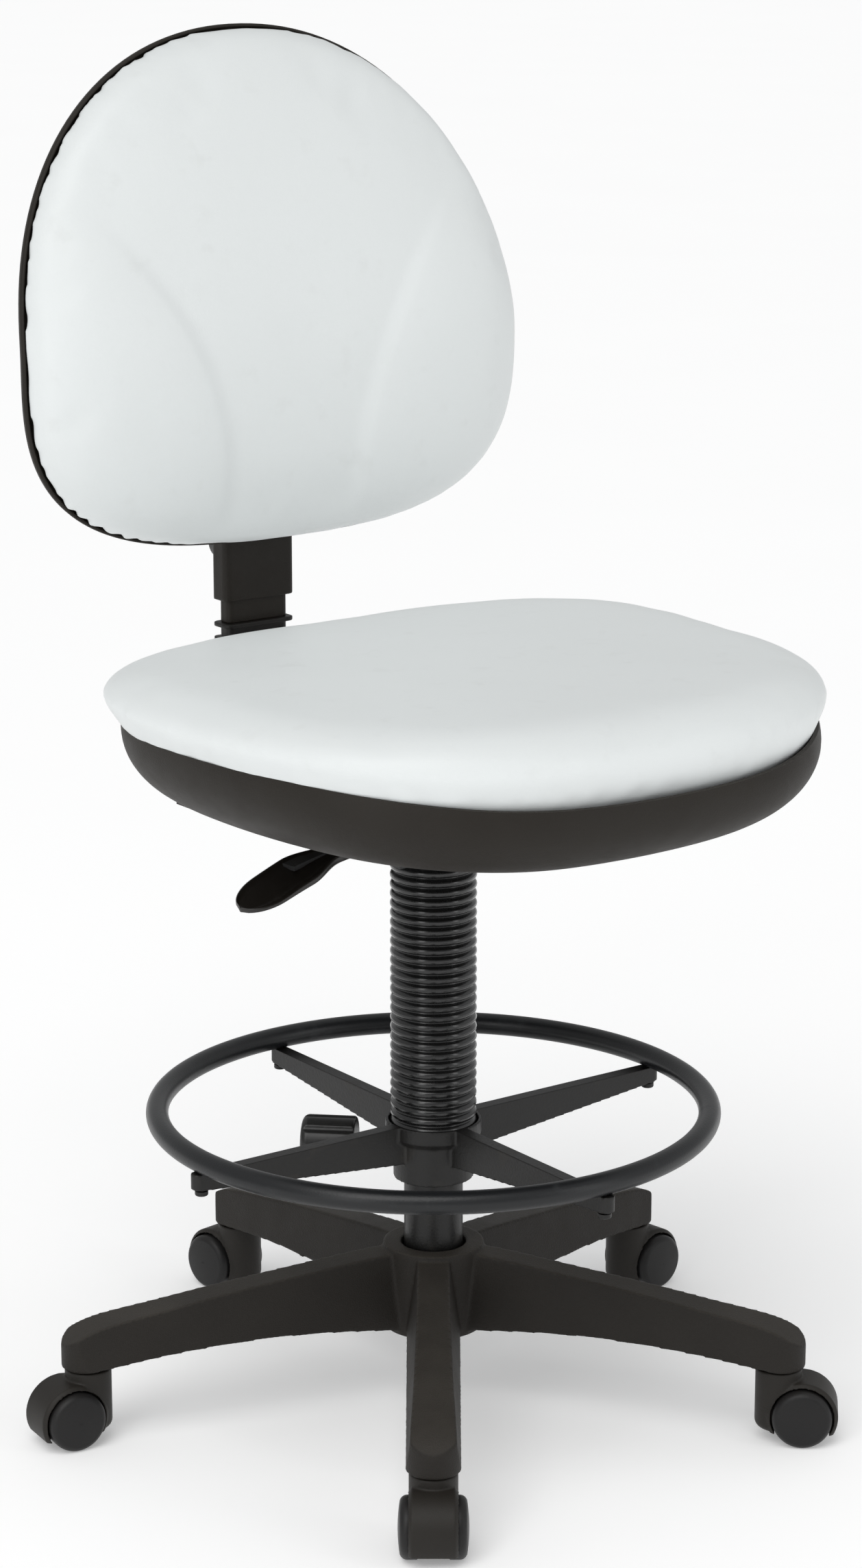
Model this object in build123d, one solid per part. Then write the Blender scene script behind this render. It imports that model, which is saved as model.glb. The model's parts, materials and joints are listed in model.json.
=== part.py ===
"""Drafting chair: a five-arm base on twin-wheel casters, a gas lift under a
corrugated cover, a clamped foot ring, an upholstered seat and a back on a bent bar.

Millimetres.  +Z up, origin on the floor under the column, the front is -Y and the
sitter's right is -X.
"""
from build123d import *
import os
from math import asin, cos, pi, radians, sin, sqrt

# ---------------------------------------------------------------- clearances
RUN = 0.05            # radial running clearance of a shaft in its hole
SLIDE = 0.3           # gap round a part that slides in a guide
GAP = 0.4             # gap between neighbours that must not rub
SEAT_ON = 0.02        # gap at a seat where one piece is fixed in another

# ---------------------------------------------------------------- casters
WHEEL_R = 25.0
WHEEL_W = 16.0
WHEEL_SPREAD = 24.0   # between the two wheels' inner faces
WHEEL_SHOULDER = 5.5
WHEEL_CROWN = 1.6
TRAIL = 20.0          # stem to axle
AXLE_R = 4.0
AXLE_BLIND = 5.0      # wheel left closed outside the axle's end
HOOD_R = 30.0
HOOD_W = 40.0
HOOD_LIFT = 10.0      # hood's lower edge above the floor
HOOD_GAP = 1.6        # tread to hood
NECK_R = 19.5
NECK_GAP = 1.0        # neck to the underside of the arm
STEM_R = 5.5
STEM_IN_ARM = 22.0
STEM_IN_HOOD = 29.0
GRIP_RING_H = 3.0
GRIP_RING_T = 1.2
# direction in which each caster trails, in step with ARM_ANGLES
TRAIL_ANGLES = (234.0, 319.0, 8.0, 100.0, 174.0)

# ---------------------------------------------------------------- star base
ARM_ANGLES = (234.0, 306.0, 18.0, 90.0, 162.0)
ARM_REACH = 303.0     # column axis to caster stem
ARM_END_R = 22.0
ARM_END_Z = 64.5      # underside at the stem
ARM_END_TOP = 100.0
HUB_TOP = 140.0
HUB_R = 43.0
HUB_BORE_R = 27.5     # clearance counterbore round the column
HUB_BORE_DEPTH = 12.0
ARM_ARCH = 12.5       # how far the underside rises at mid-span
ARM_TOP_W = 27.0
ARM_FOOT_W = 46.0
ARM_WALL = 4.0
ARM_RIB = 3.0

# ---------------------------------------------------------------- gas lift
TUBE_R = 25.0
TUBE_WALL = 2.5
TUBE_FOOT_R = 24.4    # small end of the locking taper
TUBE_FOOT_Z = 68.0
TUBE_TOP_Z = 362.0
TUBE_FLOOR = 4.0
BUSH_LEN = 62.0
LIFT_R = 14.0
LIFT_WALL = 1.5
LIFT_FOOT_Z = 135.0
LIFT_TOP_Z = 498.0
TAPER_LEN = 54.0
TAPER_TIP_R = 13.4
ROD_R = 5.0
ROD_FOOT_Z = 64.0
ROD_TOP_Z = 405.0
PISTON_H = 10.0
SHOULDER_R = 9.0
SHOULDER_H = 3.0
BEARING_R = 11.5
BEARING_H = 6.0
CLIP_R = 9.0
CLIP_H = 1.5
VALVE_R = 3.0
VALVE_LEN = 24.0
VALVE_PROUD = 6.0

# ---------------------------------------------------------------- corrugated cover
BELLOWS_R = 36.5
BELLOWS_VALLEY_R = 33.6
BELLOWS_WALL = 1.2
BELLOWS_PITCH = 8.3
BELLOWS_FOOT_Z = 240.0
BELLOWS_RIBS = 29
CUFF_LEN = 9.0

# ---------------------------------------------------------------- foot ring
RING_R = 233.0
RING_TUBE_R = 9.5
RING_TUBE_WALL = 1.5
SPIDER_TOP = 250.0
SPIDER_FOOT = 199.0
SPIDER_HUB_R = 34.0
SPIDER_RIM_R = 40.75
SPIDER_CUP_R = 38.0   # open cup that the cover drops into
SPIDER_CUP_DEPTH = 12.0
SPIDER_ARM_W = 12.0
SPIDER_ARM_ROOT = 34.0
SPIDER_ARM_TIP = 13.5
SPIDER_OVERHANG = 9.0
LINER_T = 2.5
LINER_SPLIT = 4.0
RING_SCREW_R = 2.5
RING_HOLE_SIDES = 12   # punched holes in the tube for the screws
RING_SCREW_HEAD_R = 5.5
RING_SCREW_HEAD_H = 4.0
RING_KNOB_ANGLE = 137.0
RING_KNOB_Z = 225.0
RING_KNOB_R = 22.0
RING_KNOB_NEAR = 66.0
RING_KNOB_LEN = 47.0
RING_STUD_R = 5.0
RING_BOSS_R = 10.0
RING_BOSS_REACH = 44.0

# ---------------------------------------------------------------- seat
SEAT_HALF_W = 272.0
SEAT_HALF_D = 234.0
SEAT_POWER = 2.7
SEAT_TAPER = 0.074    # the seat is wider at the back
SEAT_MID_Y = -66.0
SEAM_Z = 614.5
SEAM_DIP = 18.0       # the seam falls towards the front edge
SEAT_FLOOR_Z = 521.6
SEAT_SHELL_T = 3.0
SEAT_DISH_POWER = 2.6
SEAT_BACK_POWER = 3.6
SEAT_DISH_SHIFT = 50.0
SEAT_TOP_Z = 664.0
SEAT_BULGE = 7.0
BOARD_T = 12.0
BOARD_Z = 574.0
BOARD_SHARE = 0.86    # plywood outline against the seam outline

# ---------------------------------------------------------------- mechanism
PAN_HALF_W = 70.0
PAN_FRONT = 50.0
PAN_BACK = 110.0
PAN_FOOT_Z = 490.0
PAN_T = 2.5
FLANGE_W = 26.0
PLATE_BOLT_X = 83.0
PLATE_BOLT_Y = (-25.0, 85.0)
BOLT_R = 4.0
BOLT_HEAD_R = 7.0
BOLT_HEAD_H = 5.0
BOLT_SHELL_BOSS_R = 9.0
SOCKET_R = 20.0
ARM_PAD_X = 190.0
ARM_PAD_Y = 10.0
ARM_PAD_HALF_W = 18.0
ARM_HOLE_SPACING = 80.0
ARM_HOLE_R = 3.5
TEE_NUT_R = 11.0
TEE_NUT_H = 2.0
LEVER_PIVOT_X = 50.0
LEVER_PIN_R = 3.0
LEVER_W = 14.0
LEVER_T = 4.0
LEVER_TIP_X = 206.0
LEVER_DROOP = 9.0
LEVER_YAW = 7.0
GRIP_LEN = 112.0
GRIP_W = 40.0
GRIP_NECK_W = 22.0
GRIP_T = 8.0

# ---------------------------------------------------------------- back bar
BAR_Y = 268.0
BAR_W = 50.0
BAR_T = 8.0
BAR_BEND_R = 75.0
BAR_RUN_Z = 505.0
BAR_FRONT_Y = 72.0
BAR_TOP_Z = 800.0
COVER_W = 62.0
COVER_T = 16.0
COVER_TOP_Z = 790.0
BOOT_TOP_Z = 635.0
BOOT_BACK_Y = 165.0
FIN_W = 72.0
FIN_T = 25.0
FIN_H = 4.0
FIN_PITCH = 13.0
GUIDE_W = 60.0
GUIDE_H = 18.0
GUIDE_FRONT_Y = 75.0
GUIDE_BACK_Y = 138.0
DEPTH_KNOB_Y = 124.0
DEPTH_KNOB_R = 18.0
DEPTH_KNOB_LEN = 24.0
DEPTH_KNOB_DROP = 14.0
KNOB_STUD_R = 4.0

# ---------------------------------------------------------------- back
SLEEVE_W = 72.0
SLEEVE_T = 24.0
SLEEVE_FOOT_Z = 655.0
SLEEVE_TOP_Z = 868.0
SLEEVE_CAP = 6.0
SLEEVE_CORNER = 6.0
BACK_HALF_W = 248.0
BACK_MID_Z = 880.0
BACK_RISE = 266.0     # widest level to the top
BACK_FALL = 167.0     # widest level to the bottom
BACK_TOP_POWER = 2.1
BACK_FOOT_POWER = 3.0
BACK_SEAM_Y = 230.0
BACK_PAD_T = 57.0
BACK_DISH_T = 22.5
BACK_PAD_POWER = 3.4
BACK_DISH_POWER = 2.6
BACK_LEAN = 0.235     # slope of the upper half
BACK_LEAN_EASE = 6.0
BACK_SHELL_T = 3.0
BACK_BOARD_T = 8.0
BACK_BOARD_SHARE = 0.84
BRACKET_W = 110.0
BRACKET_Z = (745.0, 862.0)
BRACKET_T = 3.0
BACK_SCREW_X = 44.0
BACK_SCREW_R = 3.0
BACK_SCREW_HEAD_R = 6.0
BACK_SCREW_HEAD_H = 3.0
HEIGHT_KNOB_Z = 700.0
HEIGHT_KNOB_R = 20.0
HEIGHT_KNOB_LEN = 24.0
HEIGHT_KNOB_GAP = 6.0

BASE_ALIGN = (Align.CENTER, Align.CENTER, Align.MIN)
OUTLINE_POINTS = 24
FAR = 1000.0


# ---------------------------------------------------------------- helpers
def disc(radius, low, high):
    """Cylinder on the Z axis between two heights."""
    return Pos(0, 0, low) * Cylinder(radius, high - low, align=BASE_ALIGN)


def pipe(outer, inner, low, high):
    """Hollow cylinder on the Z axis."""
    return disc(outer, low, high) - disc(inner, low - 1, high + 1)


def cone(low_r, high_r, low, high):
    """Straight taper on the Z axis."""
    return Pos(0, 0, low) * Cone(low_r, high_r, high - low, align=BASE_ALIGN)


def block(x, y, z):
    """Box between pairs of limits."""
    middle = ((x[0] + x[1]) / 2, (y[0] + y[1]) / 2, (z[0] + z[1]) / 2)
    return Pos(*middle) * Box(x[1] - x[0], y[1] - y[0], z[1] - z[0])


def along_x(shape, start):
    """Turn a shape built up the Z axis to point along +X from a start distance."""
    return Pos(start, 0, 0) * Rot(0, 90, 0) * shape


def round_bar(width, thickness, corner):
    """Rounded rectangle, for bars and sleeves."""
    return RectangleRounded(width, thickness, corner)


def turned(points):
    """Solid of revolution about Z from an outline of (radius, height) corners."""
    outline = Polyline(*[(r, 0, z) for r, z in points], close=True)
    return revolve(make_face(outline), Axis.Z)


def knob(radius, length, flutes=8):
    """Grip knob up the Z axis: domed outer end, shallow flutes, flat inner face."""
    crown = min(radius, length) * 0.3
    side = Line((radius, 0, 1.5), (radius, 0, length - crown))
    edge = (radius - crown * 0.25, 0, length - crown * 0.42)
    shoulder = ThreePointArc((radius, 0, length - crown), edge, (radius - crown, 0, length - crown * 0.15))
    top = Line((radius - crown, 0, length - crown * 0.15), (0, 0, length))
    foot = Polyline((0, 0, length), (0, 0, 0), (radius - 1.5, 0, 0), (radius, 0, 1.5))
    body = revolve(make_face(side + shoulder + top + foot), Axis.Z)
    flute_r = radius * 0.17
    for k in range(flutes):
        groove = Pos(radius + flute_r * 0.55, 0, 0) * Cylinder(flute_r, length * 3)
        body -= Rot(0, 0, 360 / flutes * k) * groove
    return body


def joined(pieces):
    """One node that holds several separate solids."""
    solids = []
    for piece in pieces:
        solids += piece.solids()
    return Compound(solids)


def save(name, shape):
    export_step(shape, os.path.join("parts", name + ".step"))


def spaced(values, angle_reach):
    """Place copies of a local shape at a reach along each of the given angles."""
    return [Rot(0, 0, angle) * Pos(angle_reach, 0, 0) for angle in values]


# ---------------------------------------------------------------- casters
NECK_TOP = ARM_END_Z - NECK_GAP
WHEEL_OUT = WHEEL_SPREAD / 2 + WHEEL_W


def wheel():
    """Wheel up the Z axis: inner face at 0, domed closed outer face."""
    shoulder = WHEEL_SHOULDER
    dome_r = WHEEL_R - shoulder * 0.8
    tread = Polyline((0, 0, WHEEL_W - AXLE_BLIND), (AXLE_R + RUN, 0, WHEEL_W - AXLE_BLIND),
                     (AXLE_R + RUN, 0, 0), (WHEEL_R - 1, 0, 0), (WHEEL_R, 0, 1),
                     (WHEEL_R, 0, WHEEL_W - shoulder - WHEEL_CROWN))
    side = ThreePointArc((WHEEL_R, 0, WHEEL_W - shoulder - WHEEL_CROWN),
                         (WHEEL_R - shoulder * 0.2, 0, WHEEL_W - shoulder * 0.73),
                         (dome_r, 0, WHEEL_W - WHEEL_CROWN))
    crown_r = (dome_r ** 2 + WHEEL_CROWN ** 2) / (2 * WHEEL_CROWN)
    half_drop = crown_r - sqrt(crown_r ** 2 - (dome_r / 2) ** 2)
    face = ThreePointArc((dome_r, 0, WHEEL_W - WHEEL_CROWN), (dome_r / 2, 0, WHEEL_W - half_drop), (0, 0, WHEEL_W))
    close = Line((0, 0, WHEEL_W), (0, 0, WHEEL_W - AXLE_BLIND))
    return revolve(make_face(tread + side + face + close), Axis.Z)


def wheel_well(side):
    """Space that one wheel turns in."""
    inner = WHEEL_SPREAD / 2 - GAP
    well = disc(WHEEL_R + HOOD_GAP, inner, HOOD_W)
    return Pos(TRAIL, 0, WHEEL_R) * Rot(-90 * side, 0, 0) * well


def hood():
    """Caster body in its own frame: stem on the Z axis, axle behind it at +X."""
    half = HOOD_W / 2
    soft = 3.0
    rim = [(0, -half), (HOOD_R - soft, -half), (HOOD_R, soft - half), (HOOD_R, half - soft),
           (HOOD_R - soft, half), (0, half)]
    drum = Pos(TRAIL, 0, WHEEL_R) * Rot(90, 0, 0) * turned(rim)
    neck = disc(NECK_R, HOOD_LIFT, NECK_TOP)
    neck = chamfer(neck.edges().group_by(Axis.Z)[-1], 1.0)
    neck = fillet(neck.edges().group_by(Axis.Z)[0], 7.0)
    body = neck + drum
    body -= wheel_well(1)
    body -= wheel_well(-1)
    body -= block((-FAR, FAR), (-FAR, FAR), (-FAR, HOOD_LIFT))
    body -= disc(STEM_R + RUN, NECK_TOP - STEM_IN_HOOD - GAP, FAR)
    axle_hole = Cylinder(AXLE_R + SEAT_ON, HOOD_W * 2)
    body -= Pos(TRAIL, 0, WHEEL_R) * Rot(90, 0, 0) * axle_hole
    return body


def axle():
    """Pin through the hood with both ends inside the wheels."""
    length = 2 * (WHEEL_OUT - AXLE_BLIND - GAP)
    return Pos(TRAIL, 0, WHEEL_R) * Rot(90, 0, 0) * Cylinder(AXLE_R, length)


def stem():
    """Stem fixed in the arm, with a groove for its grip ring."""
    top = ARM_END_Z + STEM_IN_ARM
    foot = NECK_TOP - STEM_IN_HOOD
    shaft = disc(STEM_R, foot, top)
    shaft = chamfer(shaft.edges().group_by(Axis.Z)[-1], 1.2)
    ring_low = top - 3 * GRIP_RING_H
    return shaft - pipe(STEM_R + 1, STEM_R - GRIP_RING_T, ring_low, ring_low + GRIP_RING_H)


def grip_ring():
    """Split spring ring in the stem's groove."""
    ring_low = ARM_END_Z + STEM_IN_ARM - 3 * GRIP_RING_H
    inner = STEM_R - GRIP_RING_T + SEAT_ON
    ring = pipe(STEM_R, inner, ring_low + SEAT_ON, ring_low + GRIP_RING_H - SEAT_ON)
    return ring - block((0, FAR), (-1, 1), (0, FAR))


def build_casters():
    stems = []
    rings = []
    number = 0
    for arm_angle, trail_angle in zip(ARM_ANGLES, TRAIL_ANGLES):
        number += 1
        at_arm = Rot(0, 0, arm_angle) * Pos(ARM_REACH, 0, 0)
        placed = at_arm * Rot(0, 0, trail_angle - arm_angle)
        stems.append(at_arm * stem())
        rings.append(at_arm * grip_ring())
        save(f"caster_hood_{number}", placed * hood())
        save(f"caster_axle_{number}", placed * axle())
        for side, label in ((1, "left"), (-1, "right")):
            turn = Pos(TRAIL, side * WHEEL_SPREAD / 2, WHEEL_R) * Rot(-90 * side, 0, 0)
            save(f"caster_wheel_{label}_{number}", placed * turn * wheel())
    save("caster_stems", joined(stems))
    save("stem_grip_rings", joined(rings))


# ---------------------------------------------------------------- star base
def arm_section(reach, low, high, foot_w, top_w):
    """Trapezium across an arm at one distance from the column."""
    corners = [(-foot_w / 2, low), (foot_w / 2, low), (top_w / 2, high), (-top_w / 2, high)]
    face = make_face(Polyline(*corners, close=True))
    return Plane(origin=(reach, 0, 0), x_dir=(0, 1, 0), z_dir=(1, 0, 0)) * face


def arm_top(reach):
    """Height of the arm's flat top, slightly bowed."""
    share = reach / ARM_REACH
    fall = HUB_TOP - ARM_END_TOP
    return HUB_TOP - fall * (0.72 * share + 0.28 * share ** 2)


def arm_low(reach):
    """Height of the arched underside."""
    share = reach / ARM_REACH
    return ARM_END_Z + ARM_ARCH * sin(pi * min(max(share, 0), 1)) ** 0.9


def arm_foot_w(reach):
    return ARM_FOOT_W + (2 * ARM_END_R - ARM_FOOT_W) * reach / ARM_REACH


def arm_top_w(reach):
    return ARM_TOP_W + 9.0 * (reach / ARM_REACH) ** 3


def arm():
    """One arm along +X, hollow underneath, with a solid end for the stem."""
    stations = [ARM_REACH * share for share in (0, 0.16, 0.34, 0.52, 0.7, 0.86, 0.96)]
    shapes = []
    for reach in stations:
        shapes.append(arm_section(reach, arm_low(reach), arm_top(reach), arm_foot_w(reach), arm_top_w(reach)))
    end = ARM_REACH + ARM_END_R
    shapes.append(arm_section(end, ARM_END_Z, ARM_END_TOP - 15, 2 * ARM_END_R, arm_top_w(ARM_REACH)))
    outer = loft(shapes)
    plan = disc(ARM_END_R, 0, FAR)
    plan = Pos(ARM_REACH, 0, 0) * plan + block((0, ARM_REACH), (-FAR, FAR), (0, FAR))
    outer = outer & plan
    hollow = []
    for reach in [ARM_REACH * share for share in (0.16, 0.34, 0.52, 0.7, 0.88)]:
        top = arm_top(reach) - ARM_WALL
        foot_w = arm_foot_w(reach) - 2 * ARM_WALL
        hollow.append(arm_section(reach, arm_low(reach) - 20, top, foot_w, arm_top_w(reach) - 2 * ARM_WALL))
    rib = block((0, ARM_REACH), (-ARM_RIB / 2, ARM_RIB / 2), (0, FAR))
    return outer - (loft(hollow) - rib)


def star_base():
    """Hub and five arms in one moulding."""
    hub = disc(HUB_R, ARM_END_Z, HUB_TOP)
    hub = fillet(hub.edges().group_by(Axis.Z)[0], 3.0)
    one_arm = arm()
    body = hub
    for angle in ARM_ANGLES:
        body += Rot(0, 0, angle) * one_arm
    lead = HUB_TOP - HUB_BORE_DEPTH
    foot_r = TUBE_FOOT_R + SEAT_ON
    body -= cone(foot_r, TUBE_R + SEAT_ON, TUBE_FOOT_Z, lead)
    body -= disc(foot_r, 0, TUBE_FOOT_Z + 1)
    body -= disc(HUB_BORE_R, lead, FAR)
    for place in spaced(ARM_ANGLES, ARM_REACH):
        body -= place * disc(STEM_R + SEAT_ON, 0, ARM_END_Z + STEM_IN_ARM + 1)
    return body


# ---------------------------------------------------------------- gas lift
BEARING_Z = TUBE_FOOT_Z + TUBE_FLOOR + 0.2
SHOULDER_Z = BEARING_Z + BEARING_H + 0.2


def column_tube():
    lead = HUB_TOP - HUB_BORE_DEPTH
    outer = cone(TUBE_FOOT_R, TUBE_R, TUBE_FOOT_Z, lead) + disc(TUBE_R, lead, TUBE_TOP_Z)
    outer -= disc(TUBE_R - TUBE_WALL, TUBE_FOOT_Z + TUBE_FLOOR, FAR)
    return outer - disc(ROD_R + RUN, 0, FAR)


def guide_bush():
    """Plastic liner that the cylinder runs in."""
    outer = TUBE_R - TUBE_WALL - SEAT_ON
    return pipe(outer, LIFT_R + RUN, TUBE_TOP_Z - BUSH_LEN, TUBE_TOP_Z)


def thrust_bearing():
    return pipe(BEARING_R, ROD_R + RUN, BEARING_Z, BEARING_Z + BEARING_H)


def piston_rod():
    rod = disc(ROD_R, ROD_FOOT_Z, ROD_TOP_Z)
    rod += disc(LIFT_R - LIFT_WALL - RUN, ROD_TOP_Z - PISTON_H, ROD_TOP_Z)
    rod += disc(SHOULDER_R, SHOULDER_Z, SHOULDER_Z + SHOULDER_H)
    return rod


def retaining_clip():
    low = TUBE_FOOT_Z - CLIP_H - 0.4
    clip = pipe(CLIP_R, ROD_R + SEAT_ON, low, low + CLIP_H)
    return clip - block((0, FAR), (-2, 2), (0, FAR))


def gas_cylinder():
    """Pressure cylinder with a locking taper at its top."""
    taper_z = LIFT_TOP_Z - TAPER_LEN
    outer = disc(LIFT_R, LIFT_FOOT_Z, taper_z) + cone(LIFT_R, TAPER_TIP_R, taper_z, LIFT_TOP_Z)
    end = 12.0
    outer -= disc(LIFT_R - LIFT_WALL, LIFT_FOOT_Z + end, LIFT_TOP_Z - end)
    outer -= disc(ROD_R + RUN, 0, LIFT_FOOT_Z + end + 1)
    return outer - disc(VALVE_R + RUN, LIFT_TOP_Z - end - 1, FAR)


def valve_pin():
    top = LIFT_TOP_Z + VALVE_PROUD
    pin = disc(VALVE_R, top - VALVE_LEN, top)
    return chamfer(pin.edges().group_by(Axis.Z)[-1], 0.6)


# ---------------------------------------------------------------- corrugated cover
BELLOWS_TOP_Z = BELLOWS_FOOT_Z + BELLOWS_RIBS * BELLOWS_PITCH


def bellows():
    """Ribbed cover, gripped at the foot by the column and at the head by the socket."""
    outer = []
    inner = []
    for k in range(BELLOWS_RIBS):
        low = BELLOWS_FOOT_Z + k * BELLOWS_PITCH
        for share, radius in ((0.0, BELLOWS_VALLEY_R), (0.22, BELLOWS_R - 0.6), (0.5, BELLOWS_R),
                              (0.78, BELLOWS_R - 0.6)):
            outer.append((radius, low + share * BELLOWS_PITCH))
            inner.append((radius - BELLOWS_WALL, low + share * BELLOWS_PITCH))
    outer.append((BELLOWS_VALLEY_R, BELLOWS_TOP_Z))
    inner.append((BELLOWS_VALLEY_R - BELLOWS_WALL, BELLOWS_TOP_Z))
    skin = turned(outer + inner[::-1])
    web = BELLOWS_VALLEY_R - BELLOWS_WALL / 2
    foot = pipe(web, TUBE_R + GAP, BELLOWS_FOOT_Z, BELLOWS_FOOT_Z + BELLOWS_WALL)
    foot += pipe(TUBE_R + GAP + BELLOWS_WALL, TUBE_R + GAP, BELLOWS_FOOT_Z, BELLOWS_FOOT_Z + CUFF_LEN)
    head = pipe(web, SOCKET_R + GAP, BELLOWS_TOP_Z - BELLOWS_WALL, BELLOWS_TOP_Z)
    head += pipe(SOCKET_R + GAP + BELLOWS_WALL, SOCKET_R + GAP, BELLOWS_TOP_Z - CUFF_LEN, BELLOWS_TOP_Z)
    return skin + foot + head


# ---------------------------------------------------------------- foot ring
RING_Z = SPIDER_TOP + RING_TUBE_R + SEAT_ON
LINER_R = TUBE_R + RUN + LINER_T
SPIDER_CUP_Z = SPIDER_TOP - SPIDER_CUP_DEPTH
SPIDER_ANGLES = (0.0, 90.0, 180.0, 270.0)


def ring_liner():
    """Split sleeve that grips the column inside the foot ring's hub."""
    sleeve = pipe(LINER_R, TUBE_R + RUN, SPIDER_FOOT + 1, SPIDER_CUP_Z - GAP)
    split = block((0, FAR), (-LINER_SPLIT / 2, LINER_SPLIT / 2), (0, FAR))
    return sleeve - Rot(0, 0, RING_KNOB_ANGLE + 180) * split


def ring_tube():
    tube = Torus(RING_R, RING_TUBE_R) - Torus(RING_R, RING_TUBE_R - RING_TUBE_WALL)
    tube = Pos(0, 0, RING_Z) * Rot(0, 0, 45) * tube
    punch = extrude(RegularPolygon(RING_SCREW_R + GAP, RING_HOLE_SIDES), RING_TUBE_R, dir=(0, 0, 1))
    for place in spaced(SPIDER_ANGLES, RING_R):
        tube -= place * Pos(0, 0, SPIDER_TOP - RING_TUBE_WALL) * punch
    return tube


def spider_arm():
    """Flat-topped arm along +X that gets shallower towards the ring."""
    reach = RING_R + SPIDER_OVERHANG
    side = [(0, SPIDER_TOP), (reach, SPIDER_TOP), (reach, SPIDER_TOP - SPIDER_ARM_TIP),
            (SPIDER_HUB_R, SPIDER_TOP - SPIDER_ARM_ROOT), (0, SPIDER_TOP - SPIDER_ARM_ROOT)]
    face = make_face(Polyline(*[(x, 0, z) for x, z in side], close=True))
    body = extrude(face, amount=SPIDER_ARM_W / 2, dir=(0, 1, 0), both=True)
    end_r = SPIDER_ARM_W / 2
    plan = Pos(reach - end_r, 0, 0) * disc(end_r, 0, FAR)
    plan += block((0, reach - end_r), (-FAR, FAR), (0, FAR))
    return body & plan


def ring_spider():
    """Hub, cup and four arms, with a threaded boss for the clamp knob."""
    body = disc(SPIDER_HUB_R, SPIDER_FOOT, SPIDER_TOP)
    rim_low = SPIDER_CUP_Z - 6
    body += cone(SPIDER_HUB_R, SPIDER_RIM_R, rim_low, SPIDER_CUP_Z)
    body += disc(SPIDER_RIM_R, SPIDER_CUP_Z, SPIDER_TOP)
    one_arm = spider_arm()
    for angle in SPIDER_ANGLES:
        body += Rot(0, 0, angle) * one_arm
    boss = along_x(Cylinder(RING_BOSS_R, RING_BOSS_REACH, align=BASE_ALIGN), 0)
    body += Pos(0, 0, RING_KNOB_Z) * Rot(0, 0, RING_KNOB_ANGLE) * boss
    stop = along_x(Cylinder(6, SPIDER_HUB_R + 4.5, align=BASE_ALIGN), 0)
    body += Pos(0, 0, SPIDER_FOOT + 14) * Rot(0, 0, RING_KNOB_ANGLE + 180) * stop
    body -= disc(LINER_R + RUN, 0, FAR)
    body -= disc(SPIDER_CUP_R, SPIDER_CUP_Z, FAR)
    stud = along_x(Cylinder(RING_STUD_R + RUN, 2 * SPIDER_HUB_R, align=BASE_ALIGN), 0)
    body -= Pos(0, 0, RING_KNOB_Z) * Rot(0, 0, RING_KNOB_ANGLE) * stud
    for place in spaced(SPIDER_ANGLES, RING_R):
        body -= place * disc(RING_SCREW_R + SEAT_ON, 0, FAR)
    return body


def ring_screws():
    """Screws up through the arm ends into the ring."""
    low = SPIDER_TOP - SPIDER_ARM_TIP - 2.0
    screw = disc(RING_SCREW_HEAD_R, low - RING_SCREW_HEAD_H, low)
    screw = fillet(screw.edges().group_by(Axis.Z)[0], 1.5)
    screw += disc(RING_SCREW_R, low - 0.5, SPIDER_TOP + 2 * RING_TUBE_WALL)
    return joined([place * screw for place in spaced(SPIDER_ANGLES, RING_R)])


def ring_knob():
    outward = along_x(knob(RING_KNOB_R, RING_KNOB_LEN), RING_KNOB_NEAR)
    grip = outward - along_x(Cylinder(RING_STUD_R, RING_KNOB_LEN - 12, align=BASE_ALIGN), RING_KNOB_NEAR)
    return Pos(0, 0, RING_KNOB_Z) * Rot(0, 0, RING_KNOB_ANGLE) * grip


def ring_knob_stud():
    start = LINER_R + GAP
    length = RING_KNOB_NEAR + RING_KNOB_LEN - 13 - start
    stud = along_x(Cylinder(RING_STUD_R - SEAT_ON, length, align=BASE_ALIGN), start)
    return Pos(0, 0, RING_KNOB_Z) * Rot(0, 0, RING_KNOB_ANGLE) * stud


# ---------------------------------------------------------------- seat
def signed_power(value, power):
    return abs(value) ** power * (1 if value >= 0 else -1)


def seat_outline(scale, inset, z, front_shift=0.0, back_scale=None):
    """Plan of the seat at one height: a rounded square, wider at the back."""
    half_w = (SEAT_HALF_W - inset) * scale
    reach = SEAT_HALF_D - inset
    front_y = SEAT_MID_Y - front_shift - reach * scale
    back_y = SEAT_MID_Y + reach * (scale if back_scale is None else back_scale)
    mid_y = (front_y + back_y) / 2
    half_d = (back_y - front_y) / 2
    points = []
    for k in range(OUTLINE_POINTS):
        angle = 2 * pi * (k + 0.5) / OUTLINE_POINTS
        across = signed_power(cos(angle), 2 / SEAT_POWER)
        along = signed_power(sin(angle), 2 / SEAT_POWER)
        points.append((half_w * across * (1 + SEAT_TAPER * along), mid_y + half_d * along, z))
    return make_face(Spline(*points, periodic=True))


def seat_dish(inset):
    """Underside of the seat shell as a solid, up to above the seam."""
    shapes = []
    depth = SEAM_Z - SEAT_FLOOR_Z - inset
    for share in (-0.25, 0.0, 0.3, 0.55, 0.75, 0.88, 0.96, 1.0):
        sunk = min(max(share, 0), 0.985)
        scale = (1 - sunk ** SEAT_DISH_POWER) ** (1 / SEAT_DISH_POWER)
        back_scale = (1 - sunk ** SEAT_BACK_POWER) ** (1 / SEAT_BACK_POWER)
        shapes.append(seat_outline(scale, inset, SEAM_Z - depth * share, SEAT_DISH_SHIFT * sunk, back_scale))
    return loft(shapes)


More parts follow.
